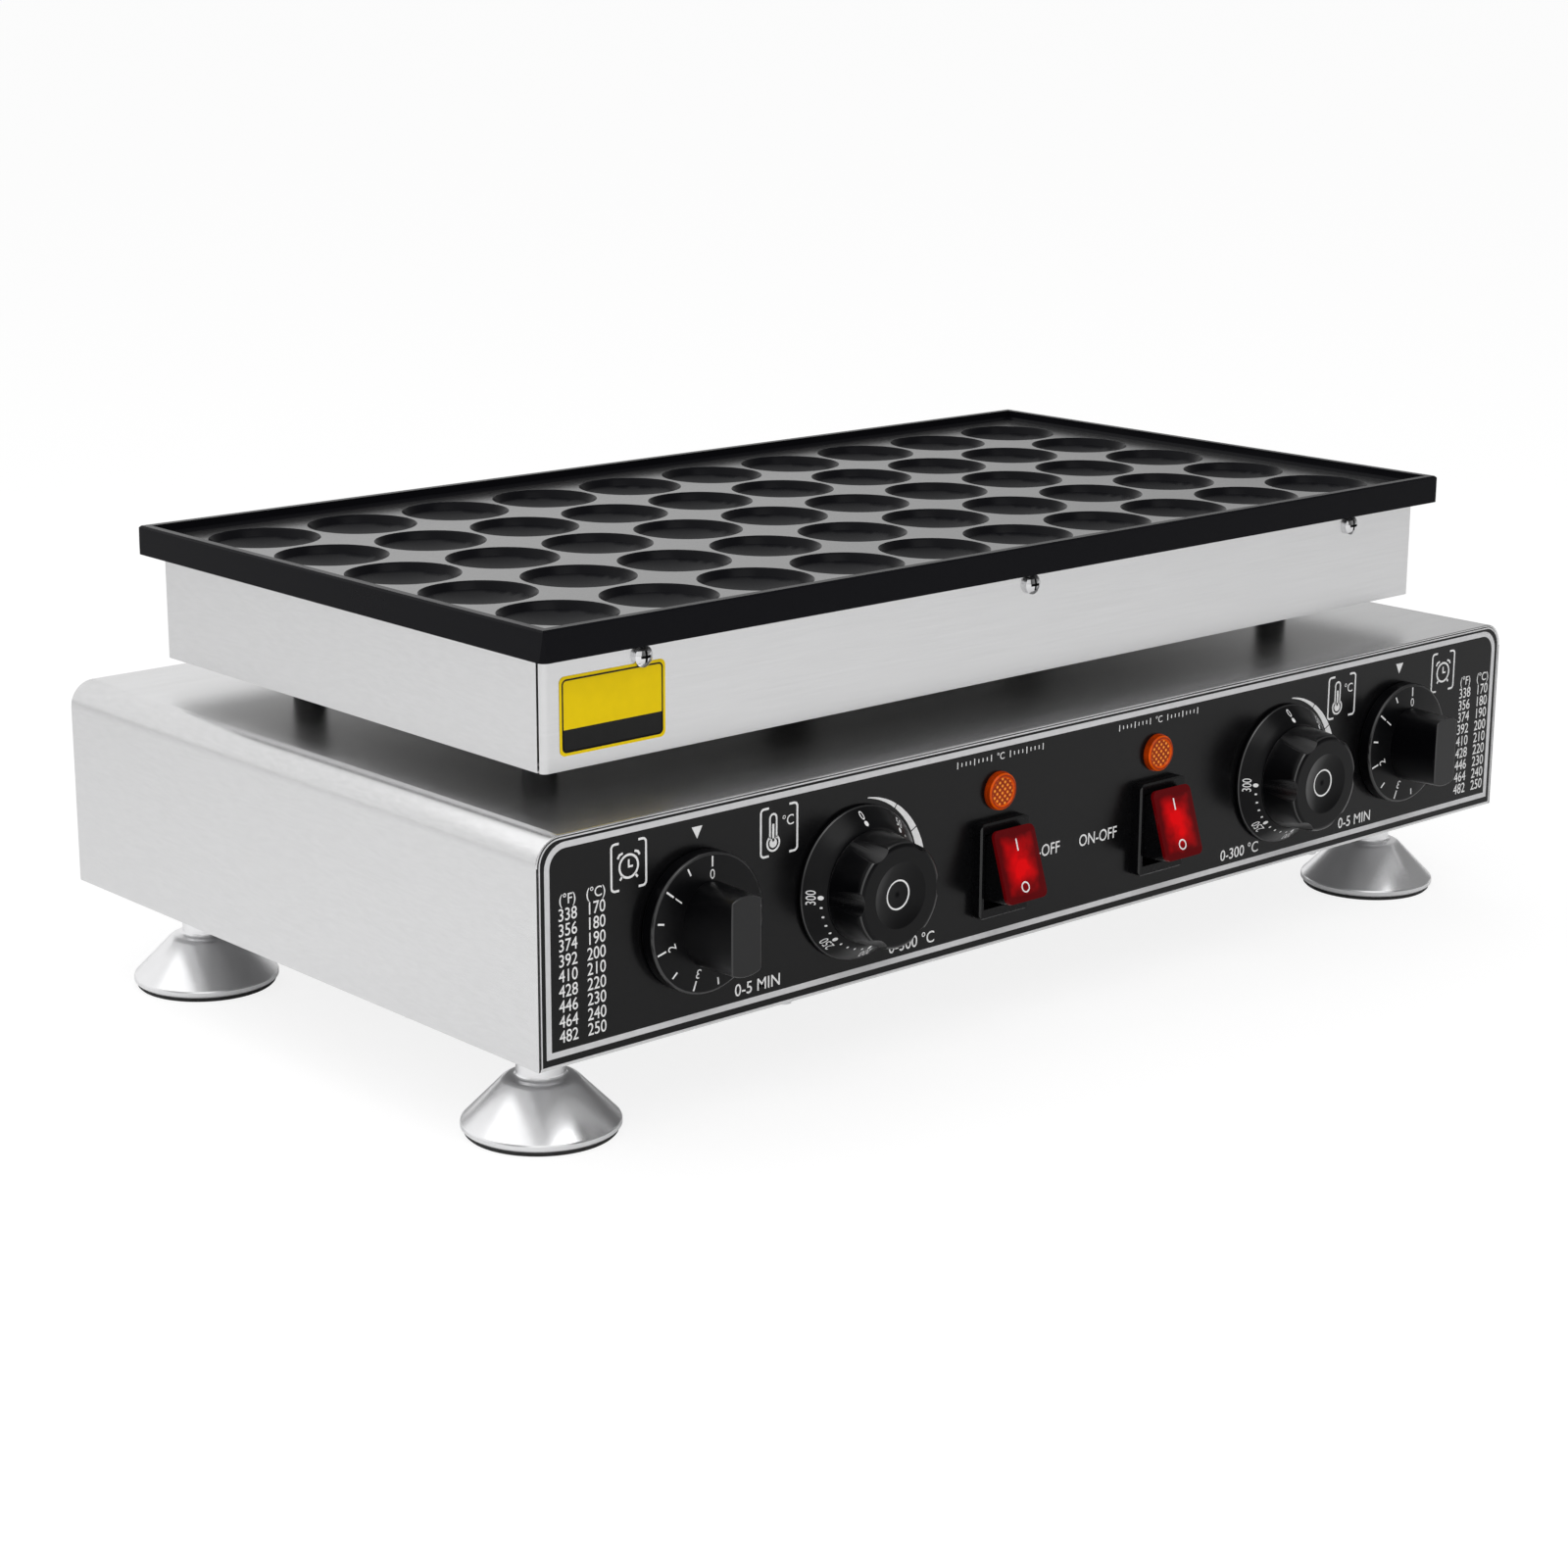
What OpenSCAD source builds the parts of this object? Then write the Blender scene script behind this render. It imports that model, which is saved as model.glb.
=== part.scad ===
// Countertop griddle with fifty round baking cavities: a cast plate on a heater box, carried on posts
// above a casing with two timers, two thermostats, two lamps, two rocker switches and four screw feet.
// Millimetres, +Z up, front toward -Y, ground at z = 0.

/* [Baking plate] */
// cavities along the width
cavity_cols = 10; // [9:1:11]
// cavities along the depth
cavity_rows = 5; // [4:1:6]
// spacing of the cavities along the width
pitch_x = 50; // [49:0.5:54]
// spacing of the cavities along the depth
pitch_y = 50.6; // [49:0.2:54]
// how far the cavity grid sits behind the middle of the plate
grid_shift = 1.6; // [0:0.1:3]
// diameter of a cavity at the top of its wall
cavity_d = 46; // [38:0.5:46]
// depth of a cavity in its middle
cavity_depth = 7; // [6:0.25:8]
// height of the steep wall of a cavity
cavity_wall = 3.2; // [2:0.2:4]
// from the outer cavity centres to the outside of the rim, along the width
rim_margin_x = 39.5; // [38:0.5:46]
// from the outer cavity centres to the outside of the rim, along the depth
rim_margin_y = 39.95; // [38.5:0.05:46]
// height of the rim above the plate top
rim_up = 4.7; // [3:0.1:7]
// depth of the rim's skirt below the plate top
rim_down = 7.5; // [6.5:0.1:10]
// thickness of the rim at its top
rim_wall = 4; // [3:0.25:5]
// how far the rim leans in from bottom to top
rim_draft = 0.9; // [0.4:0.1:1.5]
// radius of the rim's standing corners
rim_corner = 3; // [2:0.5:5]
// thickness of the casting below the rim's skirt
plate_under = 4.8; // [4:0.2:7]

/* [Heater box] */
// step from the rim to the box wall along the width
box_step_x = 6.8; // [5:0.1:9]
// step from the rim to the box wall along the depth
box_step_y = 9.35; // [7:0.05:12]
// height of the box wall
box_h = 44.5; // [42:0.5:60]
// thickness of the sheet metal
sheet = 1; // [0.8:0.1:1.2]
// outer radius of the bent box corners
box_bend = 2.5; // [2:0.25:4]
// open seam at the front left corner of the box
seam_gap = 1.3; // [0.6:0.1:2]
// how far the bottom pan sits above the lower edge of the box
pan_recess = 2.5; // [1.5:0.25:4]
// plate screws below the plate top
screw_drop = 13.5; // [13:0.25:16]
// outer plate screws in from the box ends
screw_edge = 47.2; // [40:0.2:60]
// head diameter of the plate screws
screw_head = 8.5; // [7.5:0.25:10]
// diameter of the tubular heating elements
element_d = 8; // [7:0.5:8.5]

/* [Posts] */
// clear height between casing and heater box
gap_h = 12.5; // [10:0.1:25]
// diameter of a post
post_d = 14; // [12:0.5:18]
// posts in from the box ends
post_edge_x = 37.7; // [30:0.1:45]
// posts in from the box front and back
post_edge_y = 51.8; // [45:0.1:60]

/* [Casing] */
// casing wider than the rim, each side
casing_over_x = 22.5; // [18:0.5:35]
// casing deeper than the rim, each side
casing_over_y = 23.35; // [18:0.05:35]
// height of the casing
casing_h = 88.8; // [86:0.1:110]
// outer radius of the casing's two top bends
casing_bend = 11; // [6:0.5:14]
// width of the turned-in bottom flanges
flange_w = 12; // [10:0.5:14]
// bright margin beside the black front sheet
overlay_side = 1.7; // [1.6:0.1:4]
// bright margin above the black front sheet
overlay_top = 1.2; // [1.1:0.1:3]
// bright margin below the black front sheet
overlay_bottom = 1.4; // [0.5:0.1:3]

/* [Feet] */
// casing above the ground
foot_h = 43; // [40:0.5:60]
// feet in from the casing ends
foot_edge_x = 34.8; // [33:0.1:45]
// feet in from the casing front and back
foot_edge_y = 44.6; // [40:0.1:60]
// radius of the bell of a foot
foot_r = 31.25; // [26:0.25:32]
// radius of the neck of a foot
neck_r = 9.6; // [9:0.2:12]
// thickness of the rubber pad
pad_h = 2; // [1.5:0.25:3]
// how far a foot unscrews
foot_travel = 8; // [4:0.5:10]

/* [Controls] */
// timers in from the casing ends
timer_edge = 76; // [72:0.5:80]
// timer axis below the middle of the casing height
timer_low = 0.9; // [0:0.1:2]
// radius of the timer skirt
timer_skirt_r = 27.7; // [25:0.1:29]
// front of the timer grip before the panel
timer_out = 28.5; // [26.5:0.5:32]
// from timer axis to thermostat axis
thermostat_gap = 81.9; // [78:0.1:84]
// thermostat axis below the middle of the casing height
thermostat_low = 2; // [0:0.1:3]
// radius of the thermostat skirt
thermostat_skirt_r = 31.2; // [29:0.1:33]
// front of the thermostat grip before the panel
thermostat_out = 25.5; // [22:0.5:26.5]
// scallops round the thermostat grip
grip_scallops = 6; // [5:1:8]
// half the spacing of the two switch columns
switch_half = 47.9; // [44:0.1:50]
// shift of both switch columns from the middle
switch_shift = -2.2; // [-3:0.1:0]
// lamp axis below the casing top
lamp_drop = 23.1; // [21:0.1:24.5]
// radius of the lamp lens
lamp_r = 8.1; // [7:0.1:8.5]
// clear height between a lamp and the switch bezel under it
lamp_clear = 3.35; // [2:0.05:4]
// width of the switch bezel
bezel_w = 28; // [26:0.5:30]
// height of the switch bezel
bezel_h = 40.5; // [38:0.5:42]
// thickness of the switch bezel
bezel_t = 4.8; // [4.6:0.1:6]
// tilt of a rocker to each side of its middle
rocker_tilt = 18; // [10:1:19]

/* [Rear] */
// cable gland in from the right casing end
gland_edge = 110; // [90:1:140]
// cable gland above the casing bottom
gland_z = 30; // [26:1:40]
// how far the gland stands out behind the casing
gland_out = 18; // [14:0.5:22]

/* [Hidden] */
$fn = 64;
eps = 0.01;
fit = 0.1;
run_fit = 0.05;

grid_w = (cavity_cols - 1) * pitch_x;
grid_d = (cavity_rows - 1) * pitch_y;
rim_w = grid_w + 2 * rim_margin_x;
rim_d = grid_d + 2 * rim_margin_y;
box_w = rim_w - 2 * box_step_x;
box_d = rim_d - 2 * box_step_y;
casing_w = rim_w + 2 * casing_over_x;
casing_d = rim_d + 2 * casing_over_y;

casing_z = foot_h;
casing_top = casing_z + casing_h;
box_z = casing_top + gap_h;
rim_z = box_z + box_h;
plate_top = rim_z + rim_down;
under_z = rim_z - plate_under;
pan_z = box_z + pan_recess;
screw_z = plate_top - screw_drop;

mid_y = (timer_out - gland_out) / 2;
face_y = mid_y - casing_d / 2;
back_y = mid_y + casing_d / 2;
plate_screw_x = [for (k = [-1, 0, 1]) k * (box_w / 2 - screw_edge)];

lip = 0.8;
cavity_r = cavity_d / 2;
floor_r = cavity_r - 0.45 * cavity_wall;
floor_drop = cavity_depth - cavity_wall;
dish_r = (floor_r * floor_r + floor_drop * floor_drop) / (2 * floor_drop);
rim_edge = 0.8;
rim_fillet = 1.4;
lug_w = 16;
lug_d = 12;
lug_below = 8;
lug_gap = 0.5;
screw_d = 5;
screw_head_h = 3.2;
screw_dome = 1.6;
cross_w = 1.1;

run_edge = 42;
run_pitch = 2 * floor((box_d - 2 * run_edge) / 6);
bend_in = 46;
bend_edge = 54;
bend_out = box_w / 2 - bend_edge;
element_z = under_z - element_d / 2;
pin_d = 4;
pin_start = 26;
pin_end = 13;
clamp_x = [110, 190];
clamp_w = 12;
clamp_t = 3;
clamp_z = under_z - element_d - clamp_t;
stud_d = 6;
stud_below = 9;
nut_h = 5;
nut_r = 5.8;

bolt_d = 6;
bolt_head_h = 4;
bolt_end = casing_top - sheet - nut_h - 3;
post_x = box_w / 2 - post_edge_x;
post_y = box_d / 2 - post_edge_y;
blanket_h = 12;
conduit_back = 20;
conduit_y = mid_y + conduit_back;
conduit_r = 11;
conduit_bore = 9;
conduit_below = 5;
conduit_above = 4;

overlay_t = 0.3;
panel_back = overlay_t + sheet;
panel_w = casing_w - 2 * sheet - 2 * fit;
panel_h = casing_h - sheet - fit;
panel_bend = casing_bend - sheet - fit;
bottom_z = casing_z + sheet;
bottom_w = casing_w - 2 * sheet - 1;
bottom_d = casing_d - panel_back - sheet - 1;
case_screw_d = 4;
case_screw_head = 8;
case_screw_x = 0.28 * casing_w;
case_screw_y = 0.23 * casing_d;
case_screw_head_h = 2.4;
case_screw_l = 9;
slot_l = 40;
slot_h = 4;
slot_pitch = 11;
rear_slot_z = 30;
rear_slot_x = 1.6 * slot_l;
floor_slot_x = 2.4 * slot_l;

foot_x = casing_w / 2 - foot_edge_x;
foot_y = casing_d / 2 - foot_edge_y;
foot_stud_d = 10;
foot_top = bottom_z - 0.2;
foot_nut_h = 8;
foot_nut_r = 9.8;
stud_top = bottom_z + sheet + foot_nut_h + foot_travel + 4;
lip_h = 3.2;
lip_top = pad_h + lip_h;
lip_edge = 0.8;
shoulder_r = foot_r / 2;
shoulder_z = lip_top + foot_r - shoulder_r;
shoulder_round = 6;
shoulder_end = 72;
neck_flare = 1.6;

timer_x = casing_w / 2 - timer_edge;
timer_z = casing_h / 2 - timer_low;
thermostat_x = timer_x - thermostat_gap;
thermostat_z = casing_h / 2 - thermostat_low;
knob_gap = 0.8;
shaft_r = 3;
shaft_flat = 2.2;
shaft_back = 20;
bush_r = 5;
bush_out = 4.2;
bush_nut_r = 8;
bush_nut_h = 2.5;
timer_skirt_h = 6.7;
timer_box = 44;
timer_deep = 35;
grip_half_w = 11.4;
grip_half_h = 18.8;
grip_end_r = 16;
bar_half_w = 7.2;
grip_round = 1.8;
skirt_edge = 0.6;
thermostat_rim = 2.4;
thermostat_hub_r = 24.5;
thermostat_hub = 8.8;
grip_r = 21.8;
grip_foot_r = 22.8;
scallop_r = 9;
scallop_depth = 2.4;
scallop_lean = 12;
face_round = 2.5;
dish_face_r = 13.4;
dish_face_depth = 2;
dish_face_sphere = (dish_face_r * dish_face_r + dish_face_depth * dish_face_depth) / (2 * dish_face_depth);
thermostat_deep = 33;
thermostat_body_r = 18;

lamp_z = casing_h - lamp_drop;
lamp_out = 3.2;
lamp_flange = 1;
lamp_edge = 0.6;
lamp_face_r = lamp_r - 0.4;
ribbed_r = lamp_r - 2.4;
lamp_body_r = lamp_r - 2;
lamp_deep = 30;
bezel_corner = 2.5;
bezel_bevel = 0.7;
well_w = bezel_w - 4;
well_h = bezel_h - 8.5;
switch_z = lamp_z - lamp_r - lamp_clear - bezel_h / 2;
well_floor = 6;
switch_wall = 0.8;
switch_deep = 28;
pivot_out = 3.2;
pin_r = 1.2;
pin_reach = 1.2;
rocker_gap = 0.35;
rocker_w = well_w - 2 * rocker_gap;
rocker_face = 11;
rocker_half = well_h / 2 - 0.7;
rocker_foot = 2;
rocker_taper = 3.5;
rocker_corner = 3;
rocker_inset = 0.3;
cap_t = 1.6;

gland_r = 12;
gland_thread_r = 10;
gland_in = 9;
gland_bore_r = 5;
loom_d = 8;
branch_d = 7;
lead_d = 3;
loom_behind = 33;
loom_y = face_y + panel_back + timer_deep + loom_behind;
loom_z = casing_z + 17;
box_lead_z = pan_z + sheet + blanket_h + 8;
block_x = 80;
block_w = 44;
block_d = 24;
block_h = 22;
pole_pitch = 10;
pole_deep = 6;
pole_r = 2.5;
earth_h = 20;
block_back = 62;
block_y = back_y - block_back;
earth_gap = 60;
earth_x = block_x + earth_gap;
capillary_d = 1.6;
capillary_x = 6.4;
capillary_z = casing_z + thermostat_z + thermostat_body_r / 2;
bulb_start = 205;
bulb_end = 98;
steel = [0.8, 0.8, 0.82];
black = [0.1, 0.1, 0.11];

// Flat rectangle with round corners, centred.
module round_rect(w, h, r) {
    square([w - 2 * r, h], center = true);
    square([w, h - 2 * r], center = true);
    for (sx = [-1, 1], sy = [-1, 1])
        translate([sx * (w / 2 - r), sy * (h / 2 - r)]) circle(r = r);
}

// Flat outline with a straight bottom at y = 0 and two round top corners.
module arch(w, h, r) {
    translate([-w / 2, 0]) square([w, h - r]);
    translate([r - w / 2, 0]) square([w - 2 * r, h]);
    for (sx = [-1, 1])
        translate([sx * (w / 2 - r), h - r]) circle(r = r);
}

// Puts a flat shape into the XZ plane and gives it depth from y0 to y1.
module deep_y(y0, y1) {
    translate([0, y1, 0]) rotate([90, 0, 0]) linear_extrude(y1 - y0) children();
}

// Puts a flat shape into the YZ plane and gives it width from x0 to x1.
module wide_x(x0, x1) {
    translate([x0, 0, 0]) rotate([90, 0, 90]) linear_extrude(x1 - x0) children();
}

// Local frame of a control: x right, y up, z out of the panel face.
module at_panel(x, z) {
    translate([x, face_y, casing_z + z]) rotate([90, 0, 0]) children();
}

// The children at both ends of x and y.
module four(x, y) {
    for (sx = [-1, 1], sy = [-1, 1])
        translate([sx * x, sy * y]) children();
}

module hex_nut(r, h, bore_r) {
    difference() {
        cylinder(r = r, h = h, $fn = 6);
        translate([0, 0, -eps]) cylinder(r = bore_r, h = h + 2 * eps);
    }
}

// Round bar from point a to point b.
module bar(a, b, d) {
    way = b - a;
    tilt = acos(way[2] / norm(way));
    turn = atan2(way[1], way[0]);
    translate(a) rotate([0, tilt, turn]) cylinder(d = d, h = norm(way));
}

// Round wire through a list of points.
module wire(points, d) {
    for (k = [1 : len(points) - 1])
        bar(points[k - 1], points[k], d);
    for (k = [1 : len(points) - 2])
        translate(points[k]) sphere(d = d);
}

// Cast plate.

module cavity_profile() {
    intersection() {
        translate([0, dish_r - cavity_depth]) circle(r = dish_r, $fn = 200);
        translate([0, -cavity_depth]) square([floor_r, floor_drop]);
    }
    polygon([[0, -cavity_wall - eps], [floor_r, -cavity_wall - eps], [cavity_r, -lip], [cavity_r + lip, 0],
        [cavity_r + lip, 1], [0, 1]]);
}

// Trapezoid side view of the rim block.
module rim_side(w) {
    top = w / 2 - rim_draft;
    high = plate_top + rim_up;
    polygon([[-w / 2, rim_z], [w / 2, rim_z], [top, high - rim_edge], [top - rim_edge, high],
        [rim_edge - top, high], [-top, high - rim_edge]]);
}

// Trapezoid side view of the hollow inside the rim, wider above its foot.
module recess_side(w) {
    half = w / 2 - rim_draft - rim_wall;
    high = plate_top + rim_up + 1;
    polygon([[rim_fillet - half, plate_top], [half - rim_fillet, plate_top], [half, plate_top + rim_fillet],
        [half, high], [-half, high], [-half, plate_top + rim_fillet]]);
}

module rim_block() {
    intersection() {
        wide_x(-rim_w, rim_w) translate([mid_y, 0]) rim_side(rim_d);
        deep_y(-rim_d, rim_d) rim_side(rim_w);
        translate([0, mid_y, 0]) linear_extrude(plate_top + rim_up + 1) round_rect(rim_w, rim_d, rim_corner);
    }
}

module rim_recess() {
    intersection() {
        wide_x(-rim_w, rim_w) translate([mid_y, 0]) recess_side(rim_d);
        deep_y(-rim_d, rim_d) recess_side(rim_w);
    }
}

// Puts the children on each plate screw's axis: x right, y up, z out of the box wall.
module at_plate_screws() {
    for (x = plate_screw_x, side = [0, 180])
        translate([0, mid_y, screw_z]) rotate([0, 0, side])
            translate([x, -box_d / 2, 0]) rotate([90, 0, 0]) children();
}

module baking_plate() {
    color(black) difference() {
        union() {
            rim_block();
            translate([0, mid_y, under_z + plate_under / 2 + eps])
                cube([box_w - 2 * sheet - 1, box_d - 2 * sheet - 1, plate_under + 2 * eps], center = true);
            at_plate_screws() translate([-lug_w / 2, -lug_below, -sheet - lug_gap - lug_d])
                cube([lug_w, screw_drop - rim_down - plate_under + lug_below + eps, lug_d]);
        }
        rim_recess();
        for (i = [0 : cavity_cols - 1], j = [0 : cavity_rows - 1])
            translate([i * pitch_x - grid_w / 2, mid_y + grid_shift + j * pitch_y - grid_d / 2, plate_top])
                rotate_extrude() cavity_profile();
        at_plate_screws() translate([0, 0, -lug_d - sheet - 1])
            cylinder(r = screw_d / 2 + run_fit, h = lug_d + 2);
    }
}

module plate_screws() {
    head_ball = (screw_head * screw_head / 4 + screw_dome * screw_dome) / (2 * screw_dome);
    color(steel) at_plate_screws() {
        translate([0, 0, 1 - lug_d]) cylinder(d = screw_d, h = lug_d);
        difference() {
            union() {
                cylinder(d = screw_head, h = screw_head_h - screw_dome + eps);
                translate([0, 0, screw_head_h - screw_dome]) intersection() {
                    translate([0, 0, screw_dome - head_ball]) sphere(r = head_ball);
                    cylinder(d = screw_head, h = 2);
                }
            }
            for (turn = [0, 90])
                rotate([0, 0, turn]) translate([0, 0, screw_head_h])
                    cube([screw_head * 0.55, cross_w, screw_head_h], center = true);
        }
    }
}

// Heater box.

module heater_box() {
    inner = box_bend - sheet;
    color(steel) translate([0, mid_y, 0]) difference() {
        translate([0, 0, box_z]) linear_extrude(box_h) difference() {
            round_rect(box_w, box_d, box_bend);
            round_rect(box_w - 2 * sheet, box_d - 2 * sheet, inner);
            translate([-box_w / 2 - 1, box_bend - box_d / 2]) square([sheet + 2, seam_gap]);
        }
        translate([0, -mid_y, 0]) at_plate_screws() translate([0, 0, -sheet - lug_gap])
            cylinder(r = screw_d / 2 + fit, h = sheet + 1);
    }
}

module box_bottom_pan() {
    w = box_w - 2 * sheet - 2 * fit;
    d = box_d - 2 * sheet - 2 * fit;
    corner = box_bend - sheet;
    flange_h = 8;
    notch = 30;
    color(steel) translate([0, mid_y, pan_z]) difference() {
        union() {
            linear_extrude(sheet) round_rect(w, d, corner);
            for (s = [-1, 1]) {
                translate([0, s * (d - sheet) / 2, flange_h / 2])
                    cube([w - notch, sheet, flange_h], center = true);
                translate([s * (w - sheet) / 2, 0, flange_h / 2])
                    cube([sheet, d - notch, flange_h], center = true);
            }
        }
        four(post_x, post_y) translate([0, 0, -1]) cylinder(r = bolt_d / 2 + fit, h = sheet + 2);
        translate([0, conduit_y - mid_y, -1]) cylinder(r = conduit_r + fit, h = sheet + 2);
    }
}

module tube_run(from, to, y, d) {
    translate([from, y, element_z]) rotate([0, 90, 0]) cylinder(d = d, h = to - from);
}

// Half-round bend between two runs; turn -90 bulges to +X, 90 to -X.
module tube_bend(x, y, turn) {
    translate([x, y, element_z]) rotate([0, 0, turn]) rotate_extrude(angle = 180)
        translate([run_pitch / 2, 0]) circle(d = element_d);
}

// Serpentine heating tube under the right half of the plate.
module element() {
    first = mid_y - 1.5 * run_pitch;
    for (k = [0, 3]) {
        tube_run(pin_start, bend_out, first + k * run_pitch, element_d);
        tube_run(pin_end, pin_start + 1, first + k * run_pitch, pin_d);
    }
    for (k = [1, 2])
        tube_run(bend_in, bend_out, first + k * run_pitch, element_d);
    for (k = [0.5, 2.5])
        tube_bend(bend_out, first + k * run_pitch, -90);
    tube_bend(bend_in, first + 1.5 * run_pitch, 90);
}

module element_left() { color("dimgray") mirror([1, 0, 0]) element(); }
module element_right() { color("dimgray") element(); }

module at_clamps() {
    for (side = [-1, 1], x = clamp_x)
        translate([side * x, mid_y, 0]) children();
}

module element_clamps() {
    length = 3 * run_pitch + 2 * element_d;
    color(steel) at_clamps() difference() {
        translate([0, 0, clamp_z + clamp_t / 2]) cube([clamp_w, length, clamp_t], center = true);
        for (s = [-1, 1])
            translate([0, s * run_pitch, clamp_z - 1]) cylinder(r = stud_d / 2 + fit, h = clamp_t + 2);
    }
}

module clamp_studs() {
    color(steel) at_clamps() for (s = [-1, 1])
        translate([0, s * run_pitch, clamp_z - stud_below])
            cylinder(d = stud_d, h = under_z - clamp_z + stud_below);
}

module clamp_nuts() {
    color(steel) at_clamps() for (s = [-1, 1])
        translate([0, s * run_pitch, clamp_z - nut_h]) hex_nut(nut_r, nut_h, stud_d / 2 + run_fit);
}

module insulation_blanket() {
    w = box_w - 2 * sheet - 6;
    d = box_d - 2 * sheet - 6;
    color("khaki") translate([0, mid_y, pan_z + sheet]) difference() {
        translate([-w / 2, -d / 2, 0]) cube([w, d, blanket_h]);
        four(post_x, post_y) translate([0, 0, -1]) cylinder(r = bolt_d + 2, h = blanket_h + 2);
        translate([0, conduit_y - mid_y, -1]) cylinder(r = conduit_r + 1, h = blanket_h + 2);
    }
}

// Posts between casing and heater box.

module at_posts() {
    translate([0, mid_y, 0]) four(post_x, post_y) children();
}

module support_posts() {
    color(black) at_posts() translate([0, 0, casing_top]) difference() {
        cylinder(d = post_d, h = pan_z - casing_top);
        translate([0, 0, -1]) cylinder(r = bolt_d / 2 + fit, h = pan_z - casing_top + 2);
    }
}

module post_bolts() {
    color(steel) at_posts() {
        translate([0, 0, bolt_end]) cylinder(d = bolt_d, h = pan_z + sheet - bolt_end + 1);
        translate([0, 0, pan_z + sheet]) cylinder(r = bolt_d, h = bolt_head_h, $fn = 6);
    }
}

module post_nuts() {
    color(steel) at_posts() translate([0, 0, casing_top - sheet - nut_h])
        hex_nut(nut_r, nut_h, bolt_d / 2 + run_fit);
}

module wire_conduit() {
    low = casing_top - conduit_below;
    high = pan_z + sheet + conduit_above;
    color(black) translate([0, conduit_y, low]) difference() {
        cylinder(r = conduit_r, h = high - low);
        translate([0, 0, -1]) cylinder(r = conduit_bore, h = high - low + 2);
    }
}

// Casing.

module base_cover() {
    color(steel) translate([0, 0, casing_z]) difference() {
        union() {
            deep_y(face_y, back_y) difference() {
                arch(casing_w, casing_h, casing_bend);
                translate([0, -1]) arch(casing_w - 2 * sheet, casing_h - sheet + 1, casing_bend - sheet);
            }
            for (s = [-1, 1])
                translate([s * (casing_w / 2 - flange_w / 2 - sheet / 2), mid_y, sheet / 2])
                    cube([flange_w - sheet + eps, casing_d - 2 * panel_back - 2, sheet], center = true);
        }
        translate([0, mid_y, casing_h - sheet - 1]) four(post_x, post_y)
            cylinder(r = bolt_d / 2 + fit, h = sheet + 2);
        translate([0, conduit_y, casing_h - sheet - 1]) cylinder(r = conduit_r + fit, h = sheet + 2);
        side_screws() translate([0, 0, -1]) cylinder(r = case_screw_d / 2 + fit, h = sheet + 2);
    }
}

// Case screws in the side flanges.
module side_screws() {
    translate([0, mid_y, 0]) four(casing_w / 2 - flange_w / 2 - sheet, case_screw_y) children();
}

// Case screws in the flanges of the front and rear panels.
module end_screws() {
    for (sx = [-1, 1]) {
        translate([sx * case_screw_x, face_y + panel_back + flange_w / 2, 0]) children();
        translate([sx * case_screw_x, back_y - sheet - flange_w / 2, 0]) children();
    }
}

// Panel sheet standing from y0 to y1, with a bottom flange turned toward the inside.
module end_panel(y0, y1, inward) {
    inner = inward > 0 ? y1 : y0;
    flange_half = casing_w / 2 - flange_w - 2;
    translate([0, 0, casing_z]) {
        deep_y(y0, y1) arch(panel_w, panel_h, panel_bend);
        translate([-flange_half, min(inner - eps, inner + inward * flange_w), 0])
            cube([2 * flange_half, flange_w + eps, sheet]);
    }
}

// Through holes of all controls in a sheet of the front.
module control_holes() {
    for (s = [-1, 1]) {
        at_panel(s * timer_x, timer_z) through(bush_r + fit);
        at_panel(s * thermostat_x, thermostat_z) through(bush_r + fit);
        at_panel(s * switch_half + switch_shift, lamp_z) through(lamp_body_r + fit);
        at_panel(s * switch_half + switch_shift, switch_z) translate([0, 0, -panel_back - 1])
            linear_extrude(panel_back + 2) square(well_size(fit), center = true);
    }
}

function well_size(gap) = [well_w + 2 * switch_wall + 2 * gap, well_h + 2 * switch_wall + 2 * gap];

module through(r) {
    translate([0, 0, -panel_back - 1]) cylinder(r = r, h = panel_back + 2);
}

module front_panel() {
    color(steel) difference() {
        end_panel(face_y + overlay_t, face_y + panel_back, 1);
        control_holes();
        translate([0, 0, casing_z - 1]) end_screws() cylinder(r = case_screw_d / 2 + fit, h = sheet + 2);
    }
}

module panel_overlay() {
    side = overlay_side - sheet - fit;
    high = casing_h - overlay_bottom - overlay_top;
    color(black) difference() {
        translate([0, 0, casing_z + overlay_bottom]) deep_y(face_y, face_y + overlay_t)
            arch(panel_w - 2 * side, high, panel_bend - side);
        control_holes();
    }
}

module rear_panel() {
    color(steel) difference() {
        end_panel(back_y - sheet, back_y, -1);
        at_gland() translate([0, 0, -sheet - 1]) cylinder(r = gland_thread_r + fit, h = sheet + 2);
        for (k = [0 : 3], sx = [-1 : 1])
            translate([sx * rear_slot_x, back_y - sheet / 2, casing_z + rear_slot_z + k * slot_pitch])
                cube([slot_l, sheet + 2, slot_h], center = true);
        translate([0, 0, casing_z - 1]) end_screws() cylinder(r = case_screw_d / 2 + fit, h = sheet + 2);
    }
}

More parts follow.
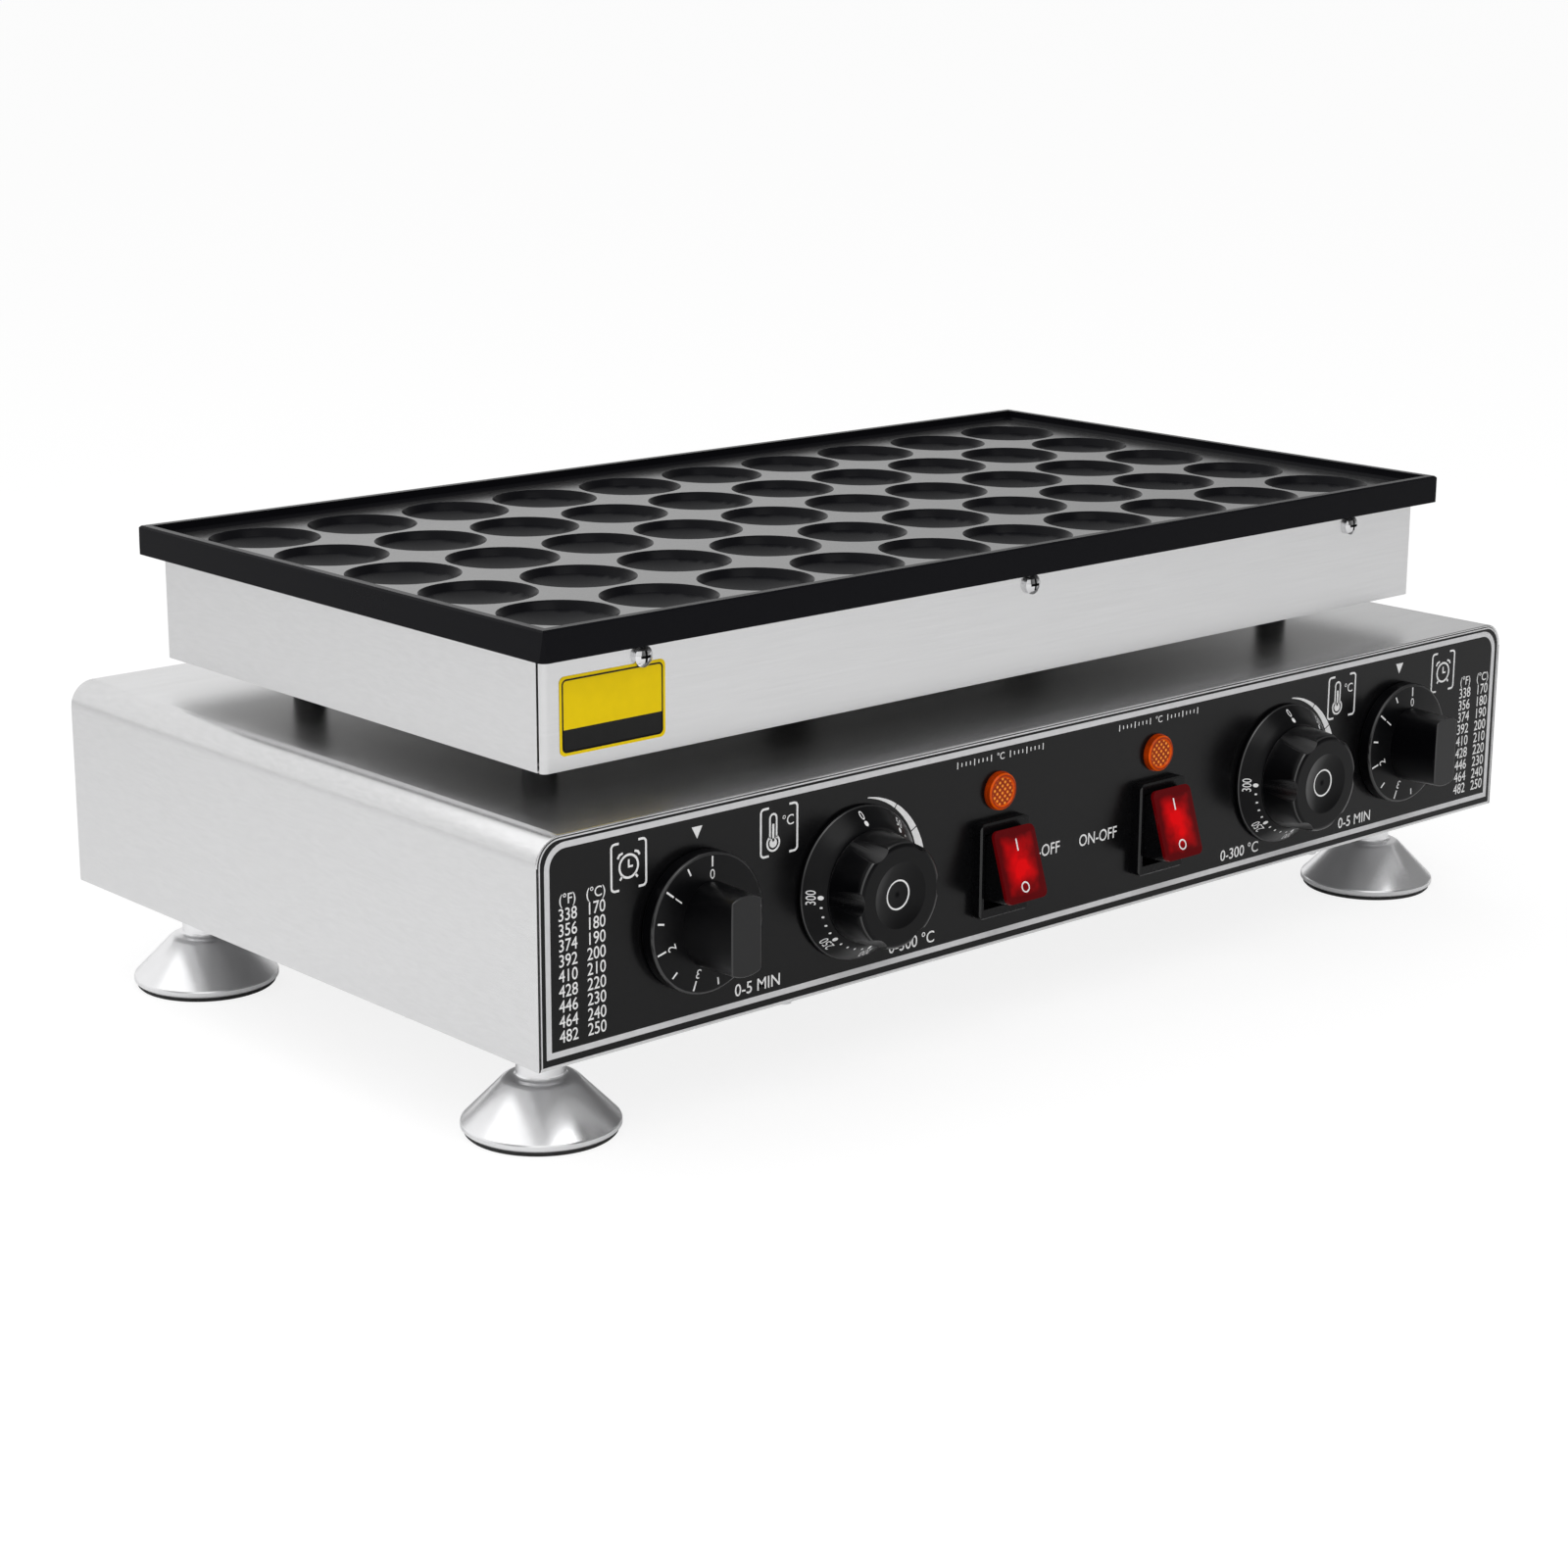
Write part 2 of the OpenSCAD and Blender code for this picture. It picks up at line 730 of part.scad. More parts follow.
module bottom_plate() {
    middle = (face_y + panel_back + back_y - sheet) / 2;
    color(steel) difference() {
        translate([-bottom_w / 2, middle - bottom_d / 2, bottom_z]) cube([bottom_w, bottom_d, sheet]);
        at_feet() translate([0, 0, bottom_z - 1]) cylinder(r = foot_stud_d / 2 + run_fit, h = sheet + 2);
        translate([0, 0, bottom_z - 1]) {
            side_screws() cylinder(r = case_screw_d / 2 + run_fit, h = sheet + 2);
            end_screws() cylinder(r = case_screw_d / 2 + run_fit, h = sheet + 2);
        }
        for (k = [-3 : 3], sx = [-1, 1])
            translate([sx * floor_slot_x - slot_l / 2, mid_y + k * slot_pitch - slot_h / 2, bottom_z - 1])
                cube([slot_l, slot_h, sheet + 2]);
    }
}

module bottom_screws() {
    color(steel) translate([0, 0, casing_z]) {
        side_screws() case_screw();
        end_screws() case_screw();
    }
}

module case_screw() {
    head = case_screw_head_h;
    translate([0, 0, -head / 2]) cylinder(d = case_screw_d, h = case_screw_l + head / 2);
    difference() {
        translate([0, 0, -head]) cylinder(d1 = 0.8 * case_screw_head, d2 = case_screw_head, h = head);
        for (turn = [0, 90])
            rotate([0, 0, turn]) translate([0, 0, -head])
                cube([case_screw_head / 2, cross_w, 0.6 * head], center = true);
    }
}

// Feet.

module at_feet() {
    translate([0, mid_y, 0]) four(foot_x, foot_y) children();
}

module foot_nuts() {
    color(steel) at_feet() translate([0, 0, bottom_z + sheet])
        hex_nut(foot_nut_r, foot_nut_h, foot_stud_d / 2 + run_fit);
}

// Points on a circle round (x, y), from one angle to another in equal steps.
function arc(x, y, r, from, to, steps = 5) =
    [for (k = [0 : steps]) let (a = from + (to - from) * k / steps) [x + r * cos(a), y + r * sin(a)]];

// Half section of a foot: a lip, a 45 degree flank, a round shoulder and a flared neck.
function foot_section() =
    let (flank = shoulder_round * cos(45),
        shoulder = arc(shoulder_r - flank, shoulder_z - flank, shoulder_round, 45, shoulder_end),
        neck_z = shoulder[len(shoulder) - 1][1] + 0.3)
    concat([[0, pad_h], [foot_r - lip_edge, pad_h], [foot_r, pad_h + lip_edge], [foot_r, lip_top - lip_edge]],
        [[foot_r - lip_edge / 3, lip_top - lip_edge / 4]], shoulder,
        arc(neck_r + neck_flare, neck_z + neck_flare, neck_flare, 270, 180),
        [[neck_r, foot_top], [0, foot_top]]);

module foot(sx, sy) {
    color(steel) translate([sx * foot_x, mid_y + sy * foot_y, 0]) {
        rotate_extrude() polygon(foot_section());
        translate([0, 0, foot_top - eps]) cylinder(d = foot_stud_d, h = stud_top - foot_top);
    }
}

module pad(sx, sy) {
    r = foot_r - 1.25;
    color("black") translate([sx * foot_x, mid_y + sy * foot_y, 0])
        rotate_extrude() polygon([[0, 0], [r - 0.6, 0], [r, 0.6], [r, pad_h], [0, pad_h]]);
}

module foot_front_left() { foot(-1, -1); }
module foot_front_right() { foot(1, -1); }
module foot_rear_left() { foot(-1, 1); }
module foot_rear_right() { foot(1, 1); }
module pad_front_left() { pad(-1, -1); }
module pad_front_right() { pad(1, -1); }
module pad_rear_left() { pad(-1, 1); }
module pad_rear_right() { pad(1, 1); }

// Shafts, bushes and knobs. A shaft carries a flat where the knob sits.

module control_shaft(front) {
    translate([0, 0, -shaft_back]) cylinder(r = shaft_r, h = shaft_back + bush_out + 0.6);
    knob_seat(0, bush_out + 0.5, front);
}

module knob_seat(gap, low, high) {
    translate([0, 0, low]) intersection() {
        cylinder(r = shaft_r + gap, h = high - low);
        translate([-2 * shaft_r, -2 * shaft_r, 0]) cube([4 * shaft_r, 2 * shaft_r + shaft_flat + gap, high - low]);
    }
}

// Bore for the turning shaft, from behind the panel to the front of the bush.
module shaft_bore() {
    translate([0, 0, -shaft_back - 0.5]) cylinder(r = shaft_r + run_fit, h = shaft_back + bush_out + 1);
}

module bush() {
    translate([0, 0, -panel_back - 1]) cylinder(r = bush_r, h = panel_back + 1 + bush_out);
}

module timer_body(side) {
    color("gainsboro") at_panel(side * timer_x, timer_z) difference() {
        union() {
            translate([-timer_box / 2, -timer_box / 2, -panel_back - timer_deep])
                cube([timer_box, timer_box, timer_deep]);
            bush();
        }
        shaft_bore();
    }
}

module timer_shaft(side) {
    color(steel) at_panel(side * timer_x, timer_z) control_shaft(timer_out - 8);
}

// Side view of a bar that narrows from foot to top, with round top corners.
module rounded_bar(foot, top, low, high) {
    lean = atan((foot - top) / (high - low));
    reach = foot * cos(lean) + low * sin(lean) - grip_round;
    y = high - grip_round;
    x = (reach - y * sin(lean)) / cos(lean);
    polygon(concat([[-foot, low], [foot, low]], arc(x, y, grip_round, lean, 90),
        arc(-x, y, grip_round, 90, 180 - lean)));
}

// Grip of a timer knob: from the front a lens with round ends, from above a wedge.
module timer_grip(low) {
    lens_r = (grip_half_w * grip_half_w + grip_half_h * grip_half_h) / (2 * grip_half_w);
    intersection() {
        translate([0, 0, low]) linear_extrude(timer_out - low) intersection() {
            translate([grip_half_w - lens_r, 0]) circle(r = lens_r);
            translate([lens_r - grip_half_w, 0]) circle(r = lens_r);
            circle(r = grip_end_r);
        }
        rotate([90, 0, 0]) translate([0, 0, -grip_half_h]) linear_extrude(2 * grip_half_h)
            rounded_bar(grip_half_w, bar_half_w, low, timer_out);
        rotate([90, 0, 90]) translate([0, 0, -grip_half_w]) linear_extrude(2 * grip_half_w)
            rounded_bar(grip_end_r, grip_end_r, low, timer_out);
    }
}

module timer_knob(side) {
    top = timer_skirt_h + 1.2;
    color(black) at_panel(side * timer_x, timer_z) difference() {
        union() {
            rotate_extrude() polygon([[0, knob_gap], [timer_skirt_r, knob_gap],
                [timer_skirt_r, timer_skirt_h - skirt_edge], [timer_skirt_r - skirt_edge, timer_skirt_h],
                [grip_half_w, top], [0, top]]);
            timer_grip(timer_skirt_h);
        }
        translate([0, 0, -eps]) cylinder(r = timer_skirt_r - 2, h = bush_out + 0.6);
        knob_seat(run_fit, 0, timer_out - 7.5);
    }
}

module thermostat_body(side) {
    color("gainsboro") at_panel(side * thermostat_x, thermostat_z) difference() {
        union() {
            translate([0, 0, -panel_back - thermostat_deep]) cylinder(r = thermostat_body_r, h = thermostat_deep);
            bush();
        }
        shaft_bore();
    }
}

module thermostat_shaft(side) {
    color(steel) at_panel(side * thermostat_x, thermostat_z) control_shaft(thermostat_out - 8);
}

// Grip of a thermostat knob: scallops that run out toward its foot.
module scalloped_grip(low) {
    difference() {
        rotate_extrude() polygon(concat([[0, low], [grip_foot_r, low]],
            arc(grip_r - face_round, thermostat_out - face_round, face_round, 0, 90), [[0, thermostat_out]]));
        for (k = [1 : grip_scallops])
            rotate([0, 0, (k - 0.5) * 360 / grip_scallops])
                translate([0, grip_r - scallop_depth + scallop_r, thermostat_out]) rotate([scallop_lean, 0, 0])
                    cylinder(r = scallop_r, h = 2 * thermostat_out, center = true);
    }
}

module thermostat_knob(side) {
    color(black) at_panel(side * thermostat_x, thermostat_z) difference() {
        union() {
            rotate_extrude() polygon([[0, knob_gap], [thermostat_skirt_r, knob_gap],
                [thermostat_skirt_r, thermostat_rim - 0.5], [thermostat_skirt_r - 0.4, thermostat_rim],
                [thermostat_hub_r, thermostat_hub - 0.4], [thermostat_hub_r - 1, thermostat_hub],
                [0, thermostat_hub]]);
            scalloped_grip(thermostat_hub - eps);
        }
        translate([0, 0, thermostat_out - dish_face_depth + dish_face_sphere])
            sphere(r = dish_face_sphere, $fn = 200);
        translate([0, 0, -eps]) cylinder(r = thermostat_hub_r + 1, h = bush_out + 0.6);
        knob_seat(run_fit, 0, thermostat_out - 7.5);
    }
}

module control_nuts() {
    color(steel) for (s = [-1, 1]) {
        at_panel(s * timer_x, timer_z) hex_nut(bush_nut_r, bush_nut_h, bush_r + run_fit);
        at_panel(s * thermostat_x, thermostat_z) hex_nut(bush_nut_r, bush_nut_h, bush_r + run_fit);
    }
}

module timer_body_left() { timer_body(-1); }
module timer_body_right() { timer_body(1); }
module timer_shaft_left() { timer_shaft(-1); }
module timer_shaft_right() { timer_shaft(1); }
module timer_knob_left() { timer_knob(-1); }
module timer_knob_right() { timer_knob(1); }
module thermostat_body_left() { thermostat_body(-1); }
module thermostat_body_right() { thermostat_body(1); }
module thermostat_shaft_left() { thermostat_shaft(-1); }
module thermostat_shaft_right() { thermostat_shaft(1); }
module thermostat_knob_left() { thermostat_knob(-1); }
module thermostat_knob_right() { thermostat_knob(1); }

// Sensing bulb under the plate and its capillary down to the thermostat.
module probe(side) {
    x = side * capillary_x;
    rear = face_y + panel_back + thermostat_deep;
    drop_x = side * (bulb_end - 8);
    color("peru") {
        bar([side * bulb_start, mid_y, element_z], [side * bulb_end, mid_y, element_z], element_d);
        wire([[side * (bulb_end + 1), mid_y, element_z], [drop_x, mid_y, element_z],
            [drop_x, mid_y, box_lead_z], [x, mid_y, box_lead_z], [x, conduit_y, box_lead_z],
            [x, conduit_y, capillary_z], [side * thermostat_x, conduit_y, capillary_z],
            [side * thermostat_x, rear, capillary_z]], capillary_d);
    }
}

module probe_left() { probe(-1); }
module probe_right() { probe(1); }

// Lamps.

module lamp_body(side) {
    color("white") at_panel(side * switch_half + switch_shift, lamp_z)
        translate([0, 0, -lamp_deep]) cylinder(r = lamp_body_r, h = lamp_deep);
}

// Lens with a base flange and a ribbed face sunk a little inside a raised ring.
module lamp_lens(side) {
    sunk = lamp_out - lamp_edge;
    color("orange") at_panel(side * switch_half + switch_shift, lamp_z)
        rotate_extrude() polygon([[0, 0], [lamp_r, 0], [lamp_r, lamp_flange], [lamp_face_r, lamp_flange],
            [lamp_face_r, sunk], [lamp_face_r - lamp_edge, lamp_out], [ribbed_r + lamp_edge, lamp_out],
            [ribbed_r, sunk], [0, sunk]]);
}

module lamp_body_left() { lamp_body(-1); }
module lamp_body_right() { lamp_body(1); }
module lamp_lens_left() { lamp_lens(-1); }
module lamp_lens_right() { lamp_lens(1); }

// Rocker switches.

module switch_housing(side) {
    tab = [6.3, 0.8, 9];
    tab_x = 5;
    tab_y = 8;
    color(black) at_panel(side * switch_half + switch_shift, switch_z) difference() {
        union() {
            intersection() {
                linear_extrude(bezel_t) round_rect(bezel_w, bezel_h, bezel_corner);
                rotate([90, 0, 90]) translate([0, 0, -bezel_w]) linear_extrude(2 * bezel_w) bezel_side(bezel_h);
                rotate([90, 0, 0]) translate([0, 0, -bezel_h]) linear_extrude(2 * bezel_h) bezel_side(bezel_w);
            }
            translate([0, 0, -switch_deep]) linear_extrude(switch_deep + eps) square(well_size(0), center = true);
            for (sx = [-1, 1], sy = [-1, 1])
                translate([sx * tab_x, sy * tab_y, (1 - tab[2]) / 2 - switch_deep])
                    cube([tab[0], tab[1], tab[2] + 1], center = true);
        }
        translate([-well_w / 2, -well_h / 2, -well_floor]) cube([well_w, well_h, well_floor + bezel_t + 1]);
        translate([0, 0, pivot_out]) rotate([0, 90, 0])
            cylinder(r = pin_r + run_fit, h = well_w + 2 * pin_reach + 0.2, center = true);
    }
}

// Side view of the bezel with a small bevel at its front edges.
module bezel_side(w) {
    polygon([[-w / 2, 0], [w / 2, 0], [w / 2, bezel_t - bezel_bevel], [w / 2 - bezel_bevel, bezel_t],
        [bezel_bevel - w / 2, bezel_t], [-w / 2, bezel_t - bezel_bevel]]);
}

// Frame of a rocker: x right, y up, z out of its face, origin on its pivot.
module at_rocker(side) {
    at_panel(side * switch_half + switch_shift, switch_z)
        translate([0, 0, pivot_out]) rotate([-rocker_tilt, 0, 0]) children();
}

module rocker(side) {
    low = rocker_half - rocker_inset;
    high = rocker_face - cap_t;
    color(black) at_rocker(side) {
        intersection() {
            rotate([90, 0, 90]) translate([0, 0, -rocker_w / 2]) linear_extrude(rocker_w)
                polygon([[-low, high], [low, high], [low - rocker_taper, -rocker_foot],
                    [rocker_taper - low, -rocker_foot]]);
            translate([0, 0, -rocker_face]) linear_extrude(2 * rocker_face)
                round_rect(rocker_w - 2 * rocker_inset, 2 * low, rocker_corner);
        }
        rotate([0, 90, 0]) cylinder(r = pin_r, h = well_w + 2 * pin_reach, center = true);
    }
}

// Clear cap on the face of a rocker.
module rocker_cap(side) {
    color("red") at_rocker(side) translate([0, 0, rocker_face - cap_t])
        linear_extrude(cap_t) round_rect(rocker_w, 2 * rocker_half, rocker_corner);
}

module switch_housing_left() { switch_housing(-1); }
module switch_housing_right() { switch_housing(1); }
module rocker_left() { rocker(-1); }
module rocker_right() { rocker(1); }
module rocker_cap_left() { rocker_cap(-1); }
module rocker_cap_right() { rocker_cap(1); }

// Cable entry, terminals and wiring inside the casing.

// Local frame of the cable entry: z out of the rear panel.
module at_gland() {
    translate([casing_w / 2 - gland_edge, back_y, casing_z + gland_z]) rotate([-90, 0, 0]) children();
}

module cable_gland() {
    collar = 5;
    color(black) at_gland() difference() {
        union() {
            translate([0, 0, -sheet - gland_in]) cylinder(r = gland_thread_r, h = sheet + gland_in + collar);
            cylinder(r = gland_r * 1.1, h = collar, $fn = 6);
            rotate_extrude() polygon([[0, collar - eps], [gland_r, collar - eps], [gland_r, gland_out - 5],
                [gland_bore_r + 2.5, gland_out], [0, gland_out]]);
        }
        translate([0, 0, -sheet - gland_in - 1]) cylinder(r = gland_bore_r, h = gland_out + sheet + gland_in + 2);
    }
}

module gland_nut() {
    color(black) at_gland() translate([0, 0, -sheet - nut_h]) hex_nut(gland_r * 1.1, nut_h, gland_thread_r + run_fit);
}

module terminal_block() {
    color("white") difference() {
        translate([block_x - block_w / 2, block_y - block_d / 2, bottom_z + sheet]) cube([block_w, block_d, block_h]);
        for (k = [-1.5 : 1.5])
            translate([block_x + k * pole_pitch, block_y, bottom_z + sheet + block_h - pole_deep])
                cylinder(r = pole_r, h = pole_deep + 1);
    }
}

module earth_stud() {
    low = bottom_z + sheet;
    color("gold") translate([earth_x, block_y, low]) {
        cylinder(d = stud_d, h = earth_h);
        cylinder(r = nut_r, h = nut_h, $fn = 6);
    }
}

module wiring_loom() {
    half = 1.5 * run_pitch;
    color("darkred") {
        wire([[-timer_x - loom_d, loom_y, loom_z], [timer_x + loom_d, loom_y, loom_z]], loom_d);
        wire([[0, loom_y, loom_z], [0, conduit_y, loom_z], [0, conduit_y, box_lead_z]], branch_d);
        wire([[block_x, loom_y, loom_z], [block_x, block_y - block_d / 2, loom_z]], branch_d);
        for (s = [-1, 1]) {
            control_lead(s * timer_x, casing_z + timer_z, panel_back + timer_deep);
            control_lead(s * thermostat_x, casing_z + thermostat_z, panel_back + thermostat_deep);
            control_lead(s * switch_half + switch_shift, casing_z + switch_z, switch_deep);
            wire([[0, conduit_y, box_lead_z], [0, mid_y + s * half, box_lead_z], [0, mid_y + s * half, element_z]],
                lead_d);
            bar([-pin_end, mid_y + s * half, element_z], [pin_end, mid_y + s * half, element_z], pin_d);
        }
    }
}

// Branch of the loom to the back of one control.
module control_lead(x, z, depth) {
    wire([[x, loom_y, loom_z], [x, loom_y, z], [x, face_y + depth, z]], lead_d);
}

baking_plate();
heater_box();
box_bottom_pan();
plate_screws();
element_left();
element_right();
element_clamps();
clamp_studs();
clamp_nuts();
insulation_blanket();
support_posts();
post_bolts();
post_nuts();
wire_conduit();
base_cover();
front_panel();
panel_overlay();
rear_panel();
bottom_plate();
bottom_screws();
foot_nuts();
foot_front_left();
foot_front_right();
foot_rear_left();
foot_rear_right();
pad_front_left();
pad_front_right();
pad_rear_left();
pad_rear_right();
timer_body_left();
timer_body_right();
timer_shaft_left();
timer_shaft_right();
timer_knob_left();
timer_knob_right();
thermostat_body_left();
thermostat_body_right();
thermostat_shaft_left();
thermostat_shaft_right();
thermostat_knob_left();
thermostat_knob_right();
probe_left();
probe_right();
control_nuts();
lamp_body_left();
lamp_body_right();
lamp_lens_left();
lamp_lens_right();
switch_housing_left();
switch_housing_right();
rocker_left();
rocker_right();
rocker_cap_left();
rocker_cap_right();
cable_gland();
gland_nut();
terminal_block();
earth_stud();
wiring_loom();
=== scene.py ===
"""Looks of the countertop griddle: materials, printed marks, studio light and camera round the CAD part."""

import math

import bmesh
import bpy
from mathutils import Matrix, Vector


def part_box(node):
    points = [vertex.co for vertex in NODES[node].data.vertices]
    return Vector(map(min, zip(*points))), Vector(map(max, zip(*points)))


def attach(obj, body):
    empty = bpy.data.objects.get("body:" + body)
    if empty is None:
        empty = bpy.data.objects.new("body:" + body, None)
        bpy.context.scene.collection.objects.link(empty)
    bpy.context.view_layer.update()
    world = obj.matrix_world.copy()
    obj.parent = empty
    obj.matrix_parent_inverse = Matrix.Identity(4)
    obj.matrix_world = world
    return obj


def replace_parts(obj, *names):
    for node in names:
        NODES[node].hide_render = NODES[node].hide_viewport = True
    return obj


MM = 0.001
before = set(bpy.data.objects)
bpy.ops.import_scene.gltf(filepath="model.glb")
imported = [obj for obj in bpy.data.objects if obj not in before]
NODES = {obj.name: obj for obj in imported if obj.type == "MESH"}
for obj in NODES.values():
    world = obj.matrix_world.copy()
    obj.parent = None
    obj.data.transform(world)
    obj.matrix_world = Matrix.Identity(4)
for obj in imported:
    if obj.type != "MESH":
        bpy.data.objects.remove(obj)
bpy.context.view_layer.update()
SIDES = ("left", "right")
FEET = ("front_left", "front_right", "rear_left", "rear_right")


def middle(node):
    """Centre of a CAD node's box."""
    low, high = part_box(node)
    return (low + high) / 2


def linked(name, data):
    """New object in the scene."""
    item = bpy.data.objects.new(name, data)
    bpy.context.scene.collection.objects.link(item)
    return item


PANEL_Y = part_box("panel_overlay")[0].y
PLATE_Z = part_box("baking_plate")[1].z
COVER_LOW, COVER_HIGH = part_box("base_cover")
BOX_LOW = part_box("heater_box")[0]
SCREW_LOW, SCREW_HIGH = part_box("plate_screws")
PRINT_GAP = 0.06 * MM


# Materials

NOISE_LOW, NOISE_HIGH = 0.3, 0.7
NOISE_DETAIL = 4.0
BUMP_DEPTH = 0.2 * MM


def socket(node, name, value):
    node.inputs[name].default_value = value


def maths(tree, operation, *values):
    """Output of a maths node. Each value is a number or another node's output."""
    node = tree.nodes.new("ShaderNodeMath")
    node.operation = operation
    for place, value in enumerate(values):
        if isinstance(value, float):
            node.inputs[place].default_value = value
        else:
            tree.links.new(value, node.inputs[place])
    return node.outputs["Value"]


def ranged(tree, value, start, end, low, high):
    """Node that turns a value between start and end into one between low and high."""
    node = tree.nodes.new("ShaderNodeMapRange")
    for name, number in (("From Min", start), ("From Max", end), ("To Min", low), ("To Max", high)):
        socket(node, name, number)
    tree.links.new(value, node.inputs["Value"])
    return node


def ramp(tree, value, first, last):
    """Colour that runs with a value from the first stop to the last, each a position and a colour."""
    node = tree.nodes.new("ShaderNodeValToRGB")
    for element, (position, color) in zip(node.color_ramp.elements, (first, last)):
        element.position = position
        element.color = (*color, 1.0)
    tree.links.new(value, node.inputs["Fac"])
    return node.outputs["Color"]


def shader(name, color, rough, metal, vary, scale, stretch=(1, 1, 1), bump=0.0, **sockets):
    """Principled material. Its colour and roughness vary with a fine noise in the piece's own space."""
    made = bpy.data.materials.new(name)
    made.use_nodes = True
    tree = made.node_tree
    main = tree.nodes["Principled BSDF"]
    socket(main, "Metallic", metal)
    for key, value in sockets.items():
        socket(main, key.replace("_", " "), value)
    place = tree.nodes.new("ShaderNodeTexCoord")
    mapping = tree.nodes.new("ShaderNodeMapping")
    socket(mapping, "Scale", stretch)
    noise = tree.nodes.new("ShaderNodeTexNoise")
    socket(noise, "Scale", scale)
    socket(noise, "Detail", NOISE_DETAIL)
    tree.links.new(place.outputs["Object"], mapping.inputs["Vector"])
    tree.links.new(mapping.outputs["Vector"], noise.inputs["Vector"])
    level = noise.outputs["Fac"]
    dark, pale = ([min(1.0, c * factor) for c in color] for factor in (1 - vary, 1 + vary))
    tint = ramp(tree, level, (NOISE_LOW, dark), (NOISE_HIGH, pale))
    tree.links.new(tint, main.inputs["Base Color"])
    dull = ranged(tree, level, NOISE_LOW, NOISE_HIGH, rough * (1 - vary), rough * (1 + vary))
    tree.links.new(dull.outputs["Result"], main.inputs["Roughness"])
    if bump:
        relief = tree.nodes.new("ShaderNodeBump")
        socket(relief, "Strength", bump)
        socket(relief, "Distance", BUMP_DEPTH)
        tree.links.new(level, relief.inputs["Height"])
        tree.links.new(relief.outputs["Normal"], main.inputs["Normal"])
    return made


# Each look's numbers are its roughness, how far it is metal, how much it varies and the scale of its noise
STEEL = shader("satin_steel", (0.7, 0.7, 0.705), 0.26, 0.96, 0.03, 30.0, (1, 6, 30))
BRIGHT_STEEL = shader("bright_steel", (0.72, 0.72, 0.73), 0.12, 1.0, 0.06, 60.0)
DARK_STEEL = shader("dark_steel", (0.42, 0.415, 0.41), 0.35, 1.0, 0.15, 120.0)
CHROME = shader("foot_chrome", (0.86, 0.86, 0.87), 0.25, 1.0, 0.04, 50.0)
COATING = shader("plate_coating", (0.005, 0.005, 0.0065), 0.26, 0.0, 0.04, 700.0, Specular_IOR_Level=0.06)
# Lighter, glossier copy of the plate coating for the seats between cavities: painted sheen.
RIDGE_SHEEN = shader("plate_ridge_painted_sheen", (0.03, 0.03, 0.031), 0.22, 0.0, 0.06, 600.0, IOR=2.0)
PANEL = shader("panel_black", (0.003, 0.003, 0.0034), 0.24, 0.0, 0.06, 400.0, Specular_IOR_Level=0.2)
KNOB = shader("knob_black", (0.0015, 0.0015, 0.002), 0.3, 0.0, 0.04, 400.0)
# Duller copy of the knob plastic for the timer grips' walls, painted shade; lighter copy for their flat
# fronts, painted light.
SHADED_GRIP = shader("grip_painted_shade", (0.0015, 0.0015, 0.002), 0.3, 0.0, 0.04, 400.0)
LIT_FRONT = shader("knob_front_painted_light", (0.006, 0.006, 0.0066), 0.3, 0.0, 0.04, 400.0, Specular_IOR_Level=0.33)
# Lighter, glossier copy of the black plastic for rounded edges: painted highlight.
EDGE_HIGHLIGHT = shader("edge_painted_highlight", (0.004, 0.004, 0.0045), 0.3, 0.0, 0.04, 400.0, Specular_IOR_Level=0.8)
# Glossier copy of the black plastic for the thermostats' scallops and the switch housings' slanted faces:
# painted glints.
GLINT_PLASTIC = shader("plastic_painted_glint", (0.002, 0.002, 0.0024), 0.22, 0.0, 0.04, 400.0, Specular_IOR_Level=0.5)
# Dark look for the cover's front edge: painted shadow of the gap between cover and panel.
GAP_SHADE = shader("cover_edge_painted_shade", (0.03, 0.03, 0.03), 0.5, 0.0, 0.1, 300.0, Specular_IOR_Level=0.2)
BEZEL = shader("bezel_black", (0.003, 0.003, 0.0035), 0.28, 0.0, 0.06, 400.0)
ZINC = shader("under_zinc", (0.48, 0.48, 0.485), 0.38, 1.0, 0.1, 60.0)
# Dark look for the screws' cross recesses: painted shade.
RECESS_SHADE = shader("recess_painted_shade", (0.01, 0.01, 0.01), 0.5, 0.0, 0.1, 300.0, Specular_IOR_Level=0.1)
INK_BLACK = shader("sticker_black", (0.012, 0.012, 0.012), 0.4, 0.0, 0.1, 300.0, Specular_IOR_Level=0.15)
POST = shader("post_dark", (0.02, 0.02, 0.021), 0.4, 0.0, 0.15, 300.0)
RUBBER = shader("pad_rubber", (0.012, 0.012, 0.012), 0.7, 0.0, 0.2, 400.0, bump=0.2)
SILVER_INK = shader("silver_ink", (0.66, 0.66, 0.67), 0.45, 0.0, 0.04, 300.0)
WHITE_INK = shader("white_ink", (0.88, 0.88, 0.88), 0.5, 0.0, 0.03, 300.0)
YELLOW = shader("sticker_yellow", (0.92, 0.66, 0.002), 0.4, 0.0, 0.02, 200.0, Specular_IOR_Level=0.1)
WOOL = shader("wool", (0.6, 0.54, 0.38), 0.9, 0.0, 0.25, 300.0, bump=0.6)
PLASTIC = shader("body_plastic", (0.6, 0.6, 0.57), 0.5, 0.0, 0.06, 200.0)
COPPER = shader("probe_copper", (0.7, 0.4, 0.25), 0.35, 1.0, 0.1, 150.0)
BRASS = shader("earth_brass", (0.72, 0.55, 0.22), 0.35, 1.0, 0.1, 150.0)
WIRE = shader("wire_cover", (0.3, 0.05, 0.04), 0.55, 0.0, 0.1, 150.0)

GRAZING = 0.75


